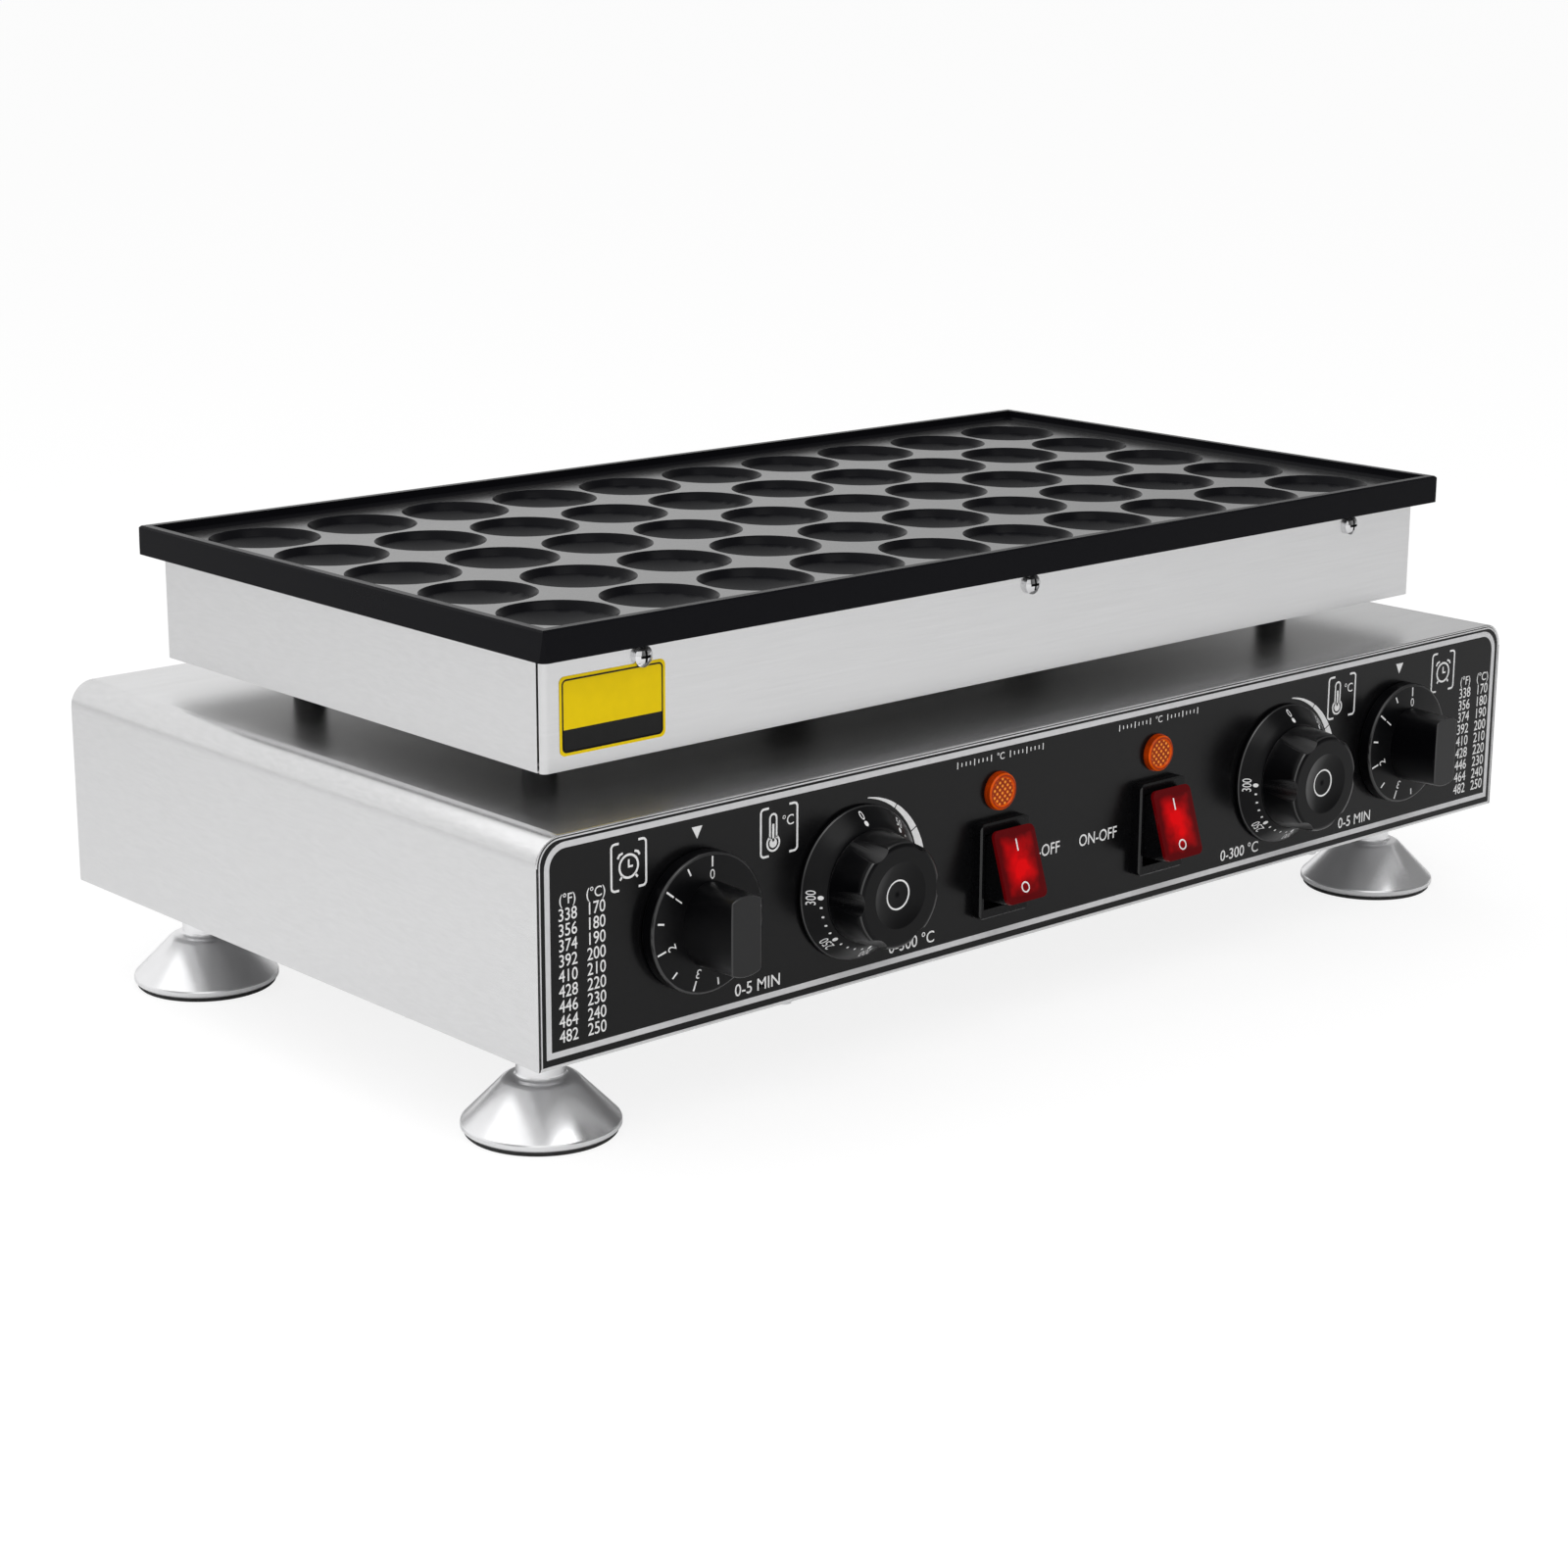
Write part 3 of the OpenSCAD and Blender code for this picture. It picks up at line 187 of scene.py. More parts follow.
def grazing_gloss(look, low, high, start=0.45):
    """Gloss that grows from low, seen square on, to high, seen at a grazing angle."""
    tree = look.node_tree
    facing = tree.nodes.new("ShaderNodeLayerWeight")
    level = ranged(tree, facing.outputs["Facing"], start, GRAZING, low, high)
    tree.links.new(level.outputs["Result"], tree.nodes["Principled BSDF"].inputs["Specular IOR Level"])


grazing_gloss(RIDGE_SHEEN, 0.3, 1.0)
grazing_gloss(KNOB, 0.15, 0.8)
grazing_gloss(SHADED_GRIP, 0.02, 0.6, 0.1)
grazing_gloss(BEZEL, 0.15, 0.8)


def amber(name, color, glow_level):
    """Amber plastic lit from behind, unevenly."""
    return shader(name, color, 0.16, 0.0, 0.35, 180.0, Specular_IOR_Level=0.1,
                  Emission_Color=(*color, 1), Emission_Strength=glow_level)


def ribbed_amber():
    """The same plastic with crossed ribs that make small bright diamonds."""
    made = amber("lamp_ribs", (0.2, 0.02, 0.0005), 0.75)
    tree = made.node_tree
    place = tree.nodes.new("ShaderNodeTexCoord")
    ribs = []
    for turn in (45, -45):
        mapping = tree.nodes.new("ShaderNodeMapping")
        socket(mapping, "Rotation", (0, math.radians(turn), 0))
        wave = tree.nodes.new("ShaderNodeTexWave")
        socket(wave, "Scale", 150.0)
        tree.links.new(place.outputs["Object"], mapping.inputs["Vector"])
        tree.links.new(mapping.outputs["Vector"], wave.inputs["Vector"])
        ribs.append(wave.outputs["Fac"])
    cross = maths(tree, "MULTIPLY", *ribs)
    glow = ramp(tree, cross, (0.15, (0.12, 0.01, 0.0005)), (0.85, (1.0, 0.36, 0.035)))
    tree.links.new(glow, tree.nodes["Principled BSDF"].inputs["Emission Color"])
    return made


def rocker_material():
    """Red clear plastic over a lit lamp: a bright core up the middle, dark toward the edges."""
    made = shader("rocker_red", (0.035, 0.0006, 0.001), 0.2, 0.0, 0.1, 120.0, Specular_IOR_Level=0.12,
                  Emission_Strength=0.75)
    tree = made.node_tree
    place = tree.nodes.new("ShaderNodeTexCoord")
    split = tree.nodes.new("ShaderNodeSeparateXYZ")
    tree.links.new(place.outputs["Generated"], split.inputs["Vector"])
    inward = [maths(tree, "PINGPONG", split.outputs[axis], 0.5) for axis in ("X", "Z")]
    core = maths(tree, "SMOOTH_MIN", *inward, 0.1)
    cloud = tree.nodes.new("ShaderNodeTexNoise")
    socket(cloud, "Scale", 130.0)
    tree.links.new(place.outputs["Object"], cloud.inputs["Vector"])
    lit = maths(tree, "MULTIPLY", core, cloud.outputs["Fac"])
    glow = ramp(tree, lit, (0.05, (0.08, 0.0005, 0.0015)), (0.22, (0.85, 0.001, 0.003)))
    tree.links.new(glow, tree.nodes["Principled BSDF"].inputs["Emission Color"])
    return made


AMBER = amber("lamp_amber", (0.3, 0.028, 0.0005), 0.15)
# The lens's slanted rim glows brighter than its face: painted highlight.
LAMP_RIM_HIGHLIGHT = amber("lamp_edge", (0.5, 0.06, 0.001), 0.4)
RIBS = ribbed_amber()
RED = rocker_material()


# Looks of the CAD pieces, and the widths in millimetres to which their sharp edges are rounded


def both(stem):
    return [f"{stem}_{side}" for side in SIDES]


LOOKS = [
    (COATING, ["baking_plate"]),
    (STEEL, ["heater_box", "base_cover", "front_panel", "rear_panel", "element_clamps"]),
    (ZINC, ["bottom_plate"]),
    (BRIGHT_STEEL, ["plate_screws", "clamp_studs", "clamp_nuts", "post_bolts", "post_nuts", "bottom_screws",
                    "foot_nuts", "control_nuts", *both("timer_shaft"), *both("thermostat_shaft")]),
    (DARK_STEEL, ["box_bottom_pan", *both("element")]),
    (CHROME, [f"foot_{foot}" for foot in FEET]),
    (RUBBER, [f"pad_{foot}" for foot in FEET]),
    (POST, ["support_posts", "wire_conduit"]),
    (PANEL, ["panel_overlay"]),
    (KNOB, [*both("timer_knob"), *both("thermostat_knob")]),
    (BEZEL, [*both("switch_housing"), *both("rocker"), "cable_gland", "gland_nut"]),
    (AMBER, both("lamp_lens")),
    (RED, both("rocker_cap")),
    (WOOL, ["insulation_blanket"]),
    (PLASTIC, [*both("timer_body"), *both("thermostat_body"), *both("lamp_body"), "terminal_block"]),
    (COPPER, both("probe")),
    (BRASS, ["earth_stud"]),
    (WIRE, ["wiring_loom"]),
]
EDGES = {"baking_plate": 0.7, "support_posts": 0.3, "base_cover": 0.45}
# Rounded edges of these pieces take the painted highlight look.
SHINY_EDGES = [*both("thermostat_knob"), *both("switch_housing")]
EDGES.update({node: 0.5 for node in SHINY_EDGES})
EDGES.update({node: 0.7 for node in both("rocker_cap")})
EDGES.update({node: 0.2 for node in [*both("lamp_lens"), *both("rocker")]})
EDGE_STEPS = 3
EDGE_ANGLE = math.radians(28)
WELD_GAP = 0.002 * MM


def soften(piece, width, shine=None, harden=False):
    """Rounds a piece's sharp edges a little, so that they catch light; a look given as shine paints a
    highlight on the rounds.
    """
    weld = piece.modifiers.new("weld", "WELD")
    weld.merge_threshold = WELD_GAP
    bevel = piece.modifiers.new("edges", "BEVEL")
    bevel.width = width * MM
    bevel.segments = EDGE_STEPS
    bevel.limit_method = "ANGLE"
    bevel.angle_limit = EDGE_ANGLE
    bevel.harden_normals = harden
    if shine:
        piece.data.materials.append(shine)
        bevel.material = len(piece.data.materials) - 1


for look, names in LOOKS:
    for name in names:
        NODES[name].data.materials.clear()
        NODES[name].data.materials.append(look)
for name, width in EDGES.items():
    soften(NODES[name], width, EDGE_HIGHLIGHT if name in SHINY_EDGES else None)


# Faces of a CAD piece with a look of their own, told by their places and by how squarely they face an axis

FACING, SIDE_ON = 0.99, 0.5
HAIR = 0.1 * MM
RIM_UP = 4.7 * MM
SCREW_X = [x * MM for x in (-210.5, 0, 210.5)]
CROSS_R, CROSS_TOP, CROSS_FLOOR = 2.6 * MM, 0.65 * MM, 1.7 * MM
GAP_SHADE_WIDTH, BEND_DROP = 1.2 * MM, 12 * MM
SCALLOP_IN, SCALLOP_OUT, SCALLOP_DEPTH = 14 * MM, 21.3 * MM, 15 * MM
LENS_R, LENS_NEAR, LENS_FAR = 6 * MM, 0.4 * MM, 0.8 * MM


def paint(node, look, chosen):
    """Gives the polygons of a CAD piece that chosen(polygon) picks a look of their own."""
    mesh = NODES[node].data
    mesh.materials.append(look)
    for polygon in mesh.polygons:
        if chosen(polygon):
            polygon.material_index = len(mesh.materials) - 1


def is_ridge(polygon):
    """Seats between the cavities of the baking plate, given a lighter, glossier copy of the coating as
    painted sheen.
    """
    return polygon.normal.z > FACING and abs(polygon.center.z - PLATE_Z + RIM_UP) < HAIR


def is_recess(polygon):
    """Inside the cross of a plate screw: near its axis and sunk below the dome, where shade is painted dark.
    """
    high = polygon.center.z - (SCREW_LOW.z + SCREW_HIGH.z) / 2
    near = min(math.hypot(polygon.center.x - x, high) for x in SCREW_X)
    sunk = min(polygon.center.y - SCREW_LOW.y, SCREW_HIGH.y - polygon.center.y)
    return near < CROSS_R and CROSS_TOP < sunk < CROSS_FLOOR


def is_cut_edge(polygon):
    """Front edge of the cover sheet, on both sides below the bends, painted dark as the shadow in the gap at
    the panel.
    """
    reach = min(polygon.center.x - COVER_LOW.x, COVER_HIGH.x - polygon.center.x)
    at_front = polygon.normal.y < -FACING and polygon.center.y - COVER_LOW.y < HAIR
    return at_front and reach < GAP_SHADE_WIDTH and COVER_HIGH.z - polygon.center.z > BEND_DROP


def from_axis(node):
    """Measure for a control's polygons: how far from its axis and how far behind its front."""
    centre, front = middle(node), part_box(node)[0].y

    def measure(polygon):
        off = math.hypot(polygon.center.x - centre.x, polygon.center.z - centre.z)
        return off, polygon.center.y - front

    return measure


def is_lens_face(node):
    """Picks the ribbed disc of a lamp lens, inside its rim."""
    measure = from_axis(node)

    def chosen(polygon):
        off, sunk = measure(polygon)
        return polygon.normal.y < -FACING and LENS_NEAR < sunk < LENS_FAR and off < LENS_R

    return chosen


def is_slanted(node, sharp, reach=1.6, skirt=0.8):
    """Picks edges slanted within sharp: reach deep round a control's front, or skirt wide round its foot."""
    measure = from_axis(node)
    low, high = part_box(node)
    outside = (high.x - low.x) / 2 - skirt * MM

    def chosen(polygon):
        off, sunk = measure(polygon)
        at_edge = off > outside or sunk < reach * MM
        return at_edge and sharp[0] < polygon.normal.y < sharp[1]

    return chosen


def is_scallop(node):
    """Picks the hollows round a thermostat grip, which get painted glints."""
    measure = from_axis(node)

    def chosen(polygon):
        off, sunk = measure(polygon)
        return polygon.normal.y > -SIDE_ON and SCALLOP_IN < off < SCALLOP_OUT and sunk < SCALLOP_DEPTH

    return chosen


paint("baking_plate", RIDGE_SHEEN, is_ridge)
paint("plate_screws", RECESS_SHADE, is_recess)
paint("base_cover", GAP_SHADE, is_cut_edge)
for knob, housing, lens in zip(both("thermostat_knob"), both("switch_housing"), both("lamp_lens")):
    paint(knob, GLINT_PLASTIC, is_scallop(knob))
    # The slanted front rounding of each thermostat grip takes the painted highlight look.
    paint(knob, EDGE_HIGHLIGHT, is_slanted(knob, sharp=(-0.8, -0.5)))
    # The switch housing's slanted faces take the painted glint look.
    paint(housing, GLINT_PLASTIC, is_slanted(housing, sharp=(-0.95, -0.3), reach=5.0))
    # The lens's slanted rim takes the brighter painted highlight glow.
    paint(lens, LAMP_RIM_HIGHLIGHT, is_slanted(lens, sharp=(-0.95, -0.2), reach=5.0))
    paint(lens, RIBS, is_lens_face(lens))


# Flat marks: lists of polygons in a control's own plane, x right and y up, in millimetres

MITRE_LIMIT = 0.3
DIGIT_HEIGHT = 0.69
BOLD = 0.005


def arc(x, y, r, degrees):
    """Points of a circle at angles anticlockwise from the right."""
    return [(x + r * math.cos(math.radians(a)), y + r * math.sin(math.radians(a))) for a in degrees]


def circle(x, y, r, count=40):
    return arc(x, y, r, [360 * k / count for k in range(count)])


def stroke(points, width, closed=False):
    """Line of a given width through points, with mitred corners, as quads."""
    count = len(points)
    sides = []
    for k, (x, y) in enumerate(points):
        before = points[k - 1] if k or closed else None
        after = points[(k + 1) % count] if k + 1 < count or closed else None
        ways = []
        for a, b in ((before, (x, y)), ((x, y), after)):
            if a is not None and b is not None:
                ways.append(Vector((b[0] - a[0], b[1] - a[1])).normalized())
        way = sum(ways, Vector((0, 0))).normalized()
        across = Vector((-way.y, way.x))
        reach = width / 2 / max(MITRE_LIMIT, across.dot(Vector((-ways[0].y, ways[0].x))))
        sides.append([(x + side * across.x * reach, y + side * across.y * reach) for side in (1, -1)])
    quads = []
    for k in range(count if closed else count - 1):
        (left, right), (next_left, next_right) = sides[k], sides[(k + 1) % count]
        quads.append([left, next_left, next_right, right])
    return quads


def ring(x, y, r, width):
    return stroke(circle(x, y, r), width, closed=True)


def rounded(x0, y0, x1, y1, radii, steps=8):
    """Rectangle outline, anticlockwise from the lower left corner, with its own radius at each corner."""
    points = []
    corners = ((x0, y0, 1, 1, 180), (x1, y0, -1, 1, 270), (x1, y1, -1, -1, 0), (x0, y1, 1, -1, 90))
    for (x, y, sx, sy, start), r in zip(corners, radii):
        if r:
            points += arc(x + sx * r, y + sy * r, r, [start + 90 * k / steps for k in range(steps + 1)])
        else:
            points.append((x, y))
    return points


def letters(text, height, weight=0.0, narrow=1.0):
    """Polygons of plain characters, centred on the origin, with digits of the given height."""
    curve = bpy.data.curves.new("letters", "FONT")
    curve.body = text
    curve.align_x = "CENTER"
    curve.resolution_u = 4
    curve.offset = weight
    item = linked("letters", curve)
    mesh = bpy.data.meshes.new_from_object(item.evaluated_get(bpy.context.evaluated_depsgraph_get()))
    size = height / DIGIT_HEIGHT
    points = [(v.co.x * size * narrow, (v.co.y - DIGIT_HEIGHT / 2) * size) for v in mesh.vertices]
    shapes = [[points[v] for v in face.vertices] for face in mesh.polygons]
    bpy.data.objects.remove(item)
    bpy.data.meshes.remove(mesh)
    return shapes


def moved(shapes, x=0.0, y=0.0, turn=0.0):
    """Shapes turned clockwise by an angle in degrees and then shifted."""
    c, s = math.cos(math.radians(turn)), math.sin(math.radians(turn))
    return [[(x + px * c + py * s, y - px * s + py * c) for px, py in shape] for shape in shapes]


def round_dial(shapes, r, turn):
    """Shapes set at radius r of a dial, turn degrees clockwise from the top, with their tops outward."""
    return moved(moved(shapes, 0, r), turn=turn)


def to_object(name, build, *looks):
    """Object with its looks, from a finished bmesh."""
    mesh = bpy.data.meshes.new(name)
    build.to_mesh(mesh)
    build.free()
    for look in looks:
        mesh.materials.append(look)
    return linked(name, mesh)


def add_piece(name, shapes, place, look, body):
    """One mesh from flat shapes, each corner put into the row frame by place(x, y)."""
    build = bmesh.new()
    for shape in shapes:
        build.faces.new([build.verts.new(place(x, y)) for x, y in shape])
    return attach(to_object(name, build, look), body)


def on_panel(x, y):
    """Point on the panel face: x from the middle, y above the casing bottom."""
    return Vector((x * MM, PANEL_Y - PRINT_GAP, COVER_LOW.z + y * MM))


# Timer knobs: the source's wedge gives way to the photo's grip, which runs from an oval foot to a flat bar.
# A profile is made of pairs, a radius and a height over the panel, in millimetres.

TIMER_SKIRT = ((27.1, 6.7), (11.4, 7.9))
SKIRT_PROFILE = ((25.7, 5.5), (25.7, 0.8), (27.7, 0.8), (27.7, 6.1), *TIMER_SKIRT)
FOOT_R, FOOT_HALF, FOOT_OUT = 16.8, 13.6, 7.2
BAR_R, BAR_HALF, BAR_OUT = 15.8, 7.2, 28.5
ROUND_STEPS = 72
SKIRT_LOOK, SHADED_GRIP_LOOK, LIT_FRONT_LOOK = range(3)
TIMER_EDGE = 0.6


def grip_rings():
    """Foot and front of a timer grip, with their heights over the panel. The front is a strip of a disc."""
    foot = [(x * FOOT_HALF / FOOT_R, up) for x, up in circle(0, 0, FOOT_R, ROUND_STEPS)]
    front = [(max(-BAR_HALF, min(BAR_HALF, x)), up) for x, up in circle(0, 0, BAR_R, ROUND_STEPS)]
    return [(foot, FOOT_OUT), (front, BAR_OUT)]


def add_tower(build, rings, centre, look):
    """Walls of one look between outlines, closed by a flat face at each end. Returns the last face."""
    loops = []
    for outline, out in rings:
        y = PANEL_Y - out * MM
        loops.append([build.verts.new((centre.x + x * MM, y, centre.z + up * MM)) for x, up in outline])
    for low, high in zip(loops, loops[1:]):
        for k in range(len(low)):
            build.faces.new((low[k - 1], low[k], high[k], high[k - 1])).material_index = look
    build.faces.new(loops[0])
    return build.faces.new(loops[-1])


def timer_knob(side):
    """Timer knob of the photo's form, in place of the source's."""
    node = f"timer_knob_{side}"
    skirt_rings = [(circle(0, 0, r, ROUND_STEPS), out) for r, out in SKIRT_PROFILE]
    build = bmesh.new()
    add_tower(build, skirt_rings, middle(node), SKIRT_LOOK)
    # The grip's walls take the painted shade look, its front the painted light look.
    add_tower(build, grip_rings(), middle(node), SHADED_GRIP_LOOK).material_index = LIT_FRONT_LOOK
    for face in build.faces:
        face.smooth = True
    bmesh.ops.recalc_face_normals(build, faces=build.faces)
    item = to_object(f"timer_dial_{side}", build, KNOB, SHADED_GRIP, LIT_FRONT)
    soften(item, TIMER_EDGE, EDGE_HIGHLIGHT, harden=True)
    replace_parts(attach(item, f"timer_{side}"), node)


for side in SIDES:
    timer_knob(side)


# Printing on the panel: places are from its middle and above the casing bottom

CASING_W = (COVER_HIGH.x - COVER_LOW.x) / MM
CASING_H = (COVER_HIGH.z - COVER_LOW.z) / MM
TIMER_X = middle("timer_knob_right").x / MM
THERMOSTAT_X = middle("thermostat_knob_right").x / MM
THERMOSTAT_Y = (middle("thermostat_knob_right").z - COVER_LOW.z) / MM
SIGN_LINE, THIN_LINE = 0.9, 0.8


def panel_line(inset, low, drop, r, width):
    """Line round the panel: round top corners, square bottom corners."""
    half = CASING_W / 2 - inset
    return stroke(rounded(-half, low, half, CASING_H - drop, (0, 0, r, r)), width, closed=True)


def bracket(w, h):
    """Square brackets open at the top and bottom, round at their corners."""
    arm, r = w * 0.22, 1.6
    outline = rounded(-w / 2, -h / 2, w / 2, h / 2, (r,) * 4)
    quarter = len(outline) // 4
    left = [(arm - w / 2, h / 2)] + outline[3 * quarter:] + outline[:quarter] + [(arm - w / 2, -h / 2)]
    right = [(w / 2 - arm, -h / 2)] + outline[quarter:3 * quarter] + [(w / 2 - arm, h / 2)]
    return stroke(left, SIGN_LINE) + stroke(right, SIGN_LINE)


CLOCK_HANDS = [(0, 2.2), (0, -0.6), (2.0, -0.6)]
CLOCK_BELL = [(5.2, 3.2), (4.4, 4.5), (2.8, 5.0)]
CLOCK_LEG = [(3.0, -3.8), (4.2, -5.2)]


def clock_sign():
    """Clock face with two bells in brackets."""
    shapes = bracket(w=16.5, h=18) + ring(0, -0.4, r=4.4, width=SIGN_LINE) + stroke(CLOCK_HANDS, THIN_LINE)
    for side in (-1, 1):
        for line in (CLOCK_BELL, CLOCK_LEG):
            shapes += stroke([(side * x, y) for x, y in line], SIGN_LINE)
    return shapes


TUBE_R, TUBE_LOW, TUBE_HIGH = 1.7, -3.0, 5.2
BULB_R, BULB_Y, MERCURY_R = 3.1, -4.6, 1.9
COLUMN, COLUMN_LINE = [(0, -4), (0, 3.0)], 1.1


def thermometer_sign():
    """Thermometer with a degree sign in brackets."""
    dome = arc(0, TUBE_HIGH, TUBE_R, range(180, -1, -20))
    tube = [(-TUBE_R, TUBE_LOW)] + dome + [(TUBE_R, TUBE_LOW)]
    bulb = arc(0, BULB_Y, BULB_R, range(-237, 58, 14))
    mercury = [circle(0, BULB_Y, MERCURY_R)]
    glass = stroke(tube, THIN_LINE) + mercury + stroke(bulb, THIN_LINE) + stroke(COLUMN, COLUMN_LINE)
    degree = moved(letters("°C", height=4.0), x=4.6, y=3.2)
    return bracket(w=18.7, h=19) + moved(glass, x=-3) + degree


TABLE_ROWS, TABLE_PITCH, TABLE_COLUMN, TABLE_HIGH = 9, 5.83, 13.2, 52.5
HEAD_SIZE, HEAD_NARROW, DIGIT_SIZE, NARROW = 3.9, 0.95, 4.7, 0.88


def table():
    """Two columns of plain numbers: degrees on both scales."""
    shapes = []
    for x, head in ((0, "(°F)"), (TABLE_COLUMN, "(°C)")):
        shapes += moved(letters(head, HEAD_SIZE, BOLD, HEAD_NARROW), x, TABLE_HIGH)
    for row in range(TABLE_ROWS):
        celsius = 170 + 10 * row
        y = TABLE_HIGH - (row + 1) * TABLE_PITCH
        for x, degrees in ((0, round(celsius * 1.8 + 32)), (TABLE_COLUMN, celsius)):
            shapes += moved(letters(str(degrees), DIGIT_SIZE, BOLD, NARROW), x, y)
    return shapes


def lamp_line():
    """Fine scale over a lamp: short ticks on both sides of a degree sign."""
    first, step, ticks, line = 5.5, 2.4, 9, 0.5
    long_half, short_half = 1.4, 0.8
    shapes = letters("°C", height=2.9)
    for side in (-1, 1):
        for tick in range(ticks):
            x = side * (first + step * tick)
            half = short_half if tick % 4 else long_half
            shapes += stroke([(x, -half), (x, half)], line)
    return shapes


TABLE_PLACES = ((-272.8, 11.7), (261.9, 11.7))
POINTER, POINTER_Y = [(-2.6, 2.2), (0, -2.6), (2.6, 2.2)], 77.8
CLOCK_X, CLOCK_Y = 244, 71.3
THERMOMETER_X, THERMOMETER_Y = 169.8, 71
LAMP_LINE_Y, LAMP_LINE_OFF = 80, 1
WORD_SIZE, WORDS_Y = 4.8, 11
TIMER_WORDS = {"left": 30.5 - TIMER_X, "right": TIMER_X - 27.5}
DEGREE_WORDS = {"left": 31 - THERMOSTAT_X, "right": THERMOSTAT_X - 26}
SWITCH_WORD_SIZE, SWITCH_WORDS_Y = 5.0, 35
SWITCH_WORDS = {"left": -24.5, "right": 10.5}


def panel_marks():
    """All white printing on the panel, apart from the thermostats' wedges."""
    shapes = []
    for x, y in TABLE_PLACES:
        shapes += moved(table(), x, y)
    for side in (-1, 1):
        shapes += moved([POINTER], side * TIMER_X, POINTER_Y)
        shapes += moved(clock_sign(), side * CLOCK_X, CLOCK_Y)
        shapes += moved(thermometer_sign(), side * THERMOMETER_X, THERMOMETER_Y)
    for side in SIDES:
        shapes += moved(letters("0-5 MIN", WORD_SIZE, BOLD), TIMER_WORDS[side], WORDS_Y)
        shapes += moved(letters("0-300 °C", WORD_SIZE, BOLD), DEGREE_WORDS[side], WORDS_Y)
        shapes += moved(lamp_line(), middle(f"lamp_lens_{side}").x / MM + LAMP_LINE_OFF, LAMP_LINE_Y)
        switch_words = letters("ON-OFF", SWITCH_WORD_SIZE, BOLD, NARROW)
        shapes += moved(switch_words, SWITCH_WORDS[side], SWITCH_WORDS_Y)
    return shapes


border = panel_line(inset=4.9, low=5.25, drop=4.1, r=8.5, width=2.4)
trim = panel_line(inset=1.55, low=1.1, drop=1.55, r=9.5, width=0.6)
add_piece("panel_border", border + trim, on_panel, SILVER_INK, "griddle")
add_piece("panel_marks", panel_marks(), on_panel, WHITE_INK, "griddle")

WEDGE_PARTS = ((10, 37.6), (38.4, 62.6), (63.4, 79))
WEDGE_IN, WEDGE_OUT, WEDGE_GROWTH = 33.4, 33.8, 3.6
WEDGE_STEPS = 10


def crescent(x, y):
    """White wedge round a thermostat, thin at the top and wide to the right, cut into three."""
    shapes = []
    begin, end = WEDGE_PARTS[0][0], WEDGE_PARTS[-1][1]
    for first, last in WEDGE_PARTS:
        angles = [first + (last - first) * k / WEDGE_STEPS for k in range(WEDGE_STEPS + 1)]
        outer = [(a, WEDGE_OUT + WEDGE_GROWTH * (a - begin) / (end - begin)) for a in angles]
        inner = [(a, WEDGE_IN) for a in reversed(angles)]
        turns = [(math.radians(a), r) for a, r in outer + inner]
        shapes.append([(x + r * math.sin(turn), y + r * math.cos(turn)) for turn, r in turns])
    return shapes


wedges = crescent(-THERMOSTAT_X, THERMOSTAT_Y) + crescent(THERMOSTAT_X, THERMOSTAT_Y)
add_piece("thermostat_wedges", wedges, on_panel, WHITE_INK, "griddle")


# Marks on the knobs, draped over their skirts and in their dishes

THERMOSTAT_SKIRT = ((30.8, 2.4), (24.5, 8.4))
MINUTE_TICK, HALF_TICK, TICK_LINE = [(0, 22.2), (0, 26.2)], [(0, 22.4), (0, 25.4)], 0.75
MINUTE_R, MINUTE_SIZE = 19.4, 3.7
DOT_R, DEGREE_R, DEGREE_SIZE = 25.6, 28.4, 2.9
LARGE_DOT = circle(0, 0, 0.9, 20)
SMALL_DOT = circle(0, 0, 0.45, 14)
LAST_NUMBER = 5


def drape(node, profile):
    """Placer for marks on a knob: out of the panel by the skirt's own profile of (radius, out) pairs."""
    centre = middle(node)

    def place(x, y):
        r = math.hypot(x, y)
        (r0, z0), (r1, z1) = profile
        out = z0 + (z1 - z0) * (r0 - r) / (r0 - r1)
        return Vector((centre.x + x * MM, PANEL_Y - out * MM - PRINT_GAP, centre.z + y * MM))

    return place


def timer_marks():
    """Minutes, anticlockwise, with the nought a little past the pointer."""
    shapes = []
    start, step = 4.0, -55.6
    for number in range(LAST_NUMBER + 1):
        turn = start + step * number
        shapes += round_dial(stroke(MINUTE_TICK, TICK_LINE), 0, turn)
        shapes += round_dial(letters(str(number), MINUTE_SIZE), MINUTE_R, turn)
        if number < LAST_NUMBER:
            shapes += round_dial(stroke(HALF_TICK, TICK_LINE), 0, turn + step / 2)
    return shapes


def degree_mark(degrees, turn):
    """Dot with its number on a thermostat skirt."""
    return round_dial([LARGE_DOT], DOT_R, turn) + round_dial(letters(degrees, DEGREE_SIZE), DEGREE_R, turn)


def thermostat_marks():
    """Degrees, clockwise, with four small dots between the numbers."""
    nought, start, step, parts = -3.6, 40.3, 45.94, 5
    shapes = degree_mark("0", nought)
    for number in range(LAST_NUMBER + 1):
        turn = start + step * number
        shapes += degree_mark(str(50 * (number + 1)), turn)
        if number < LAST_NUMBER:
            for part in range(1, parts):
                shapes += round_dial([SMALL_DOT], DOT_R, turn + step * part / parts)
    return shapes


for side in SIDES:
    on_timer = drape(f"timer_knob_{side}", TIMER_SKIRT)
    on_thermostat = drape(f"thermostat_knob_{side}", THERMOSTAT_SKIRT)
    add_piece(f"timer_marks_{side}", timer_marks(), on_timer, WHITE_INK, f"timer_{side}")
    add_piece(f"thermostat_marks_{side}", thermostat_marks(), on_thermostat, WHITE_INK, f"thermostat_{side}")

DISH_DEPTH, DISH_R = 2.0, 13.4
BADGE_R, BADGE_LINE = 5.8, 0.7


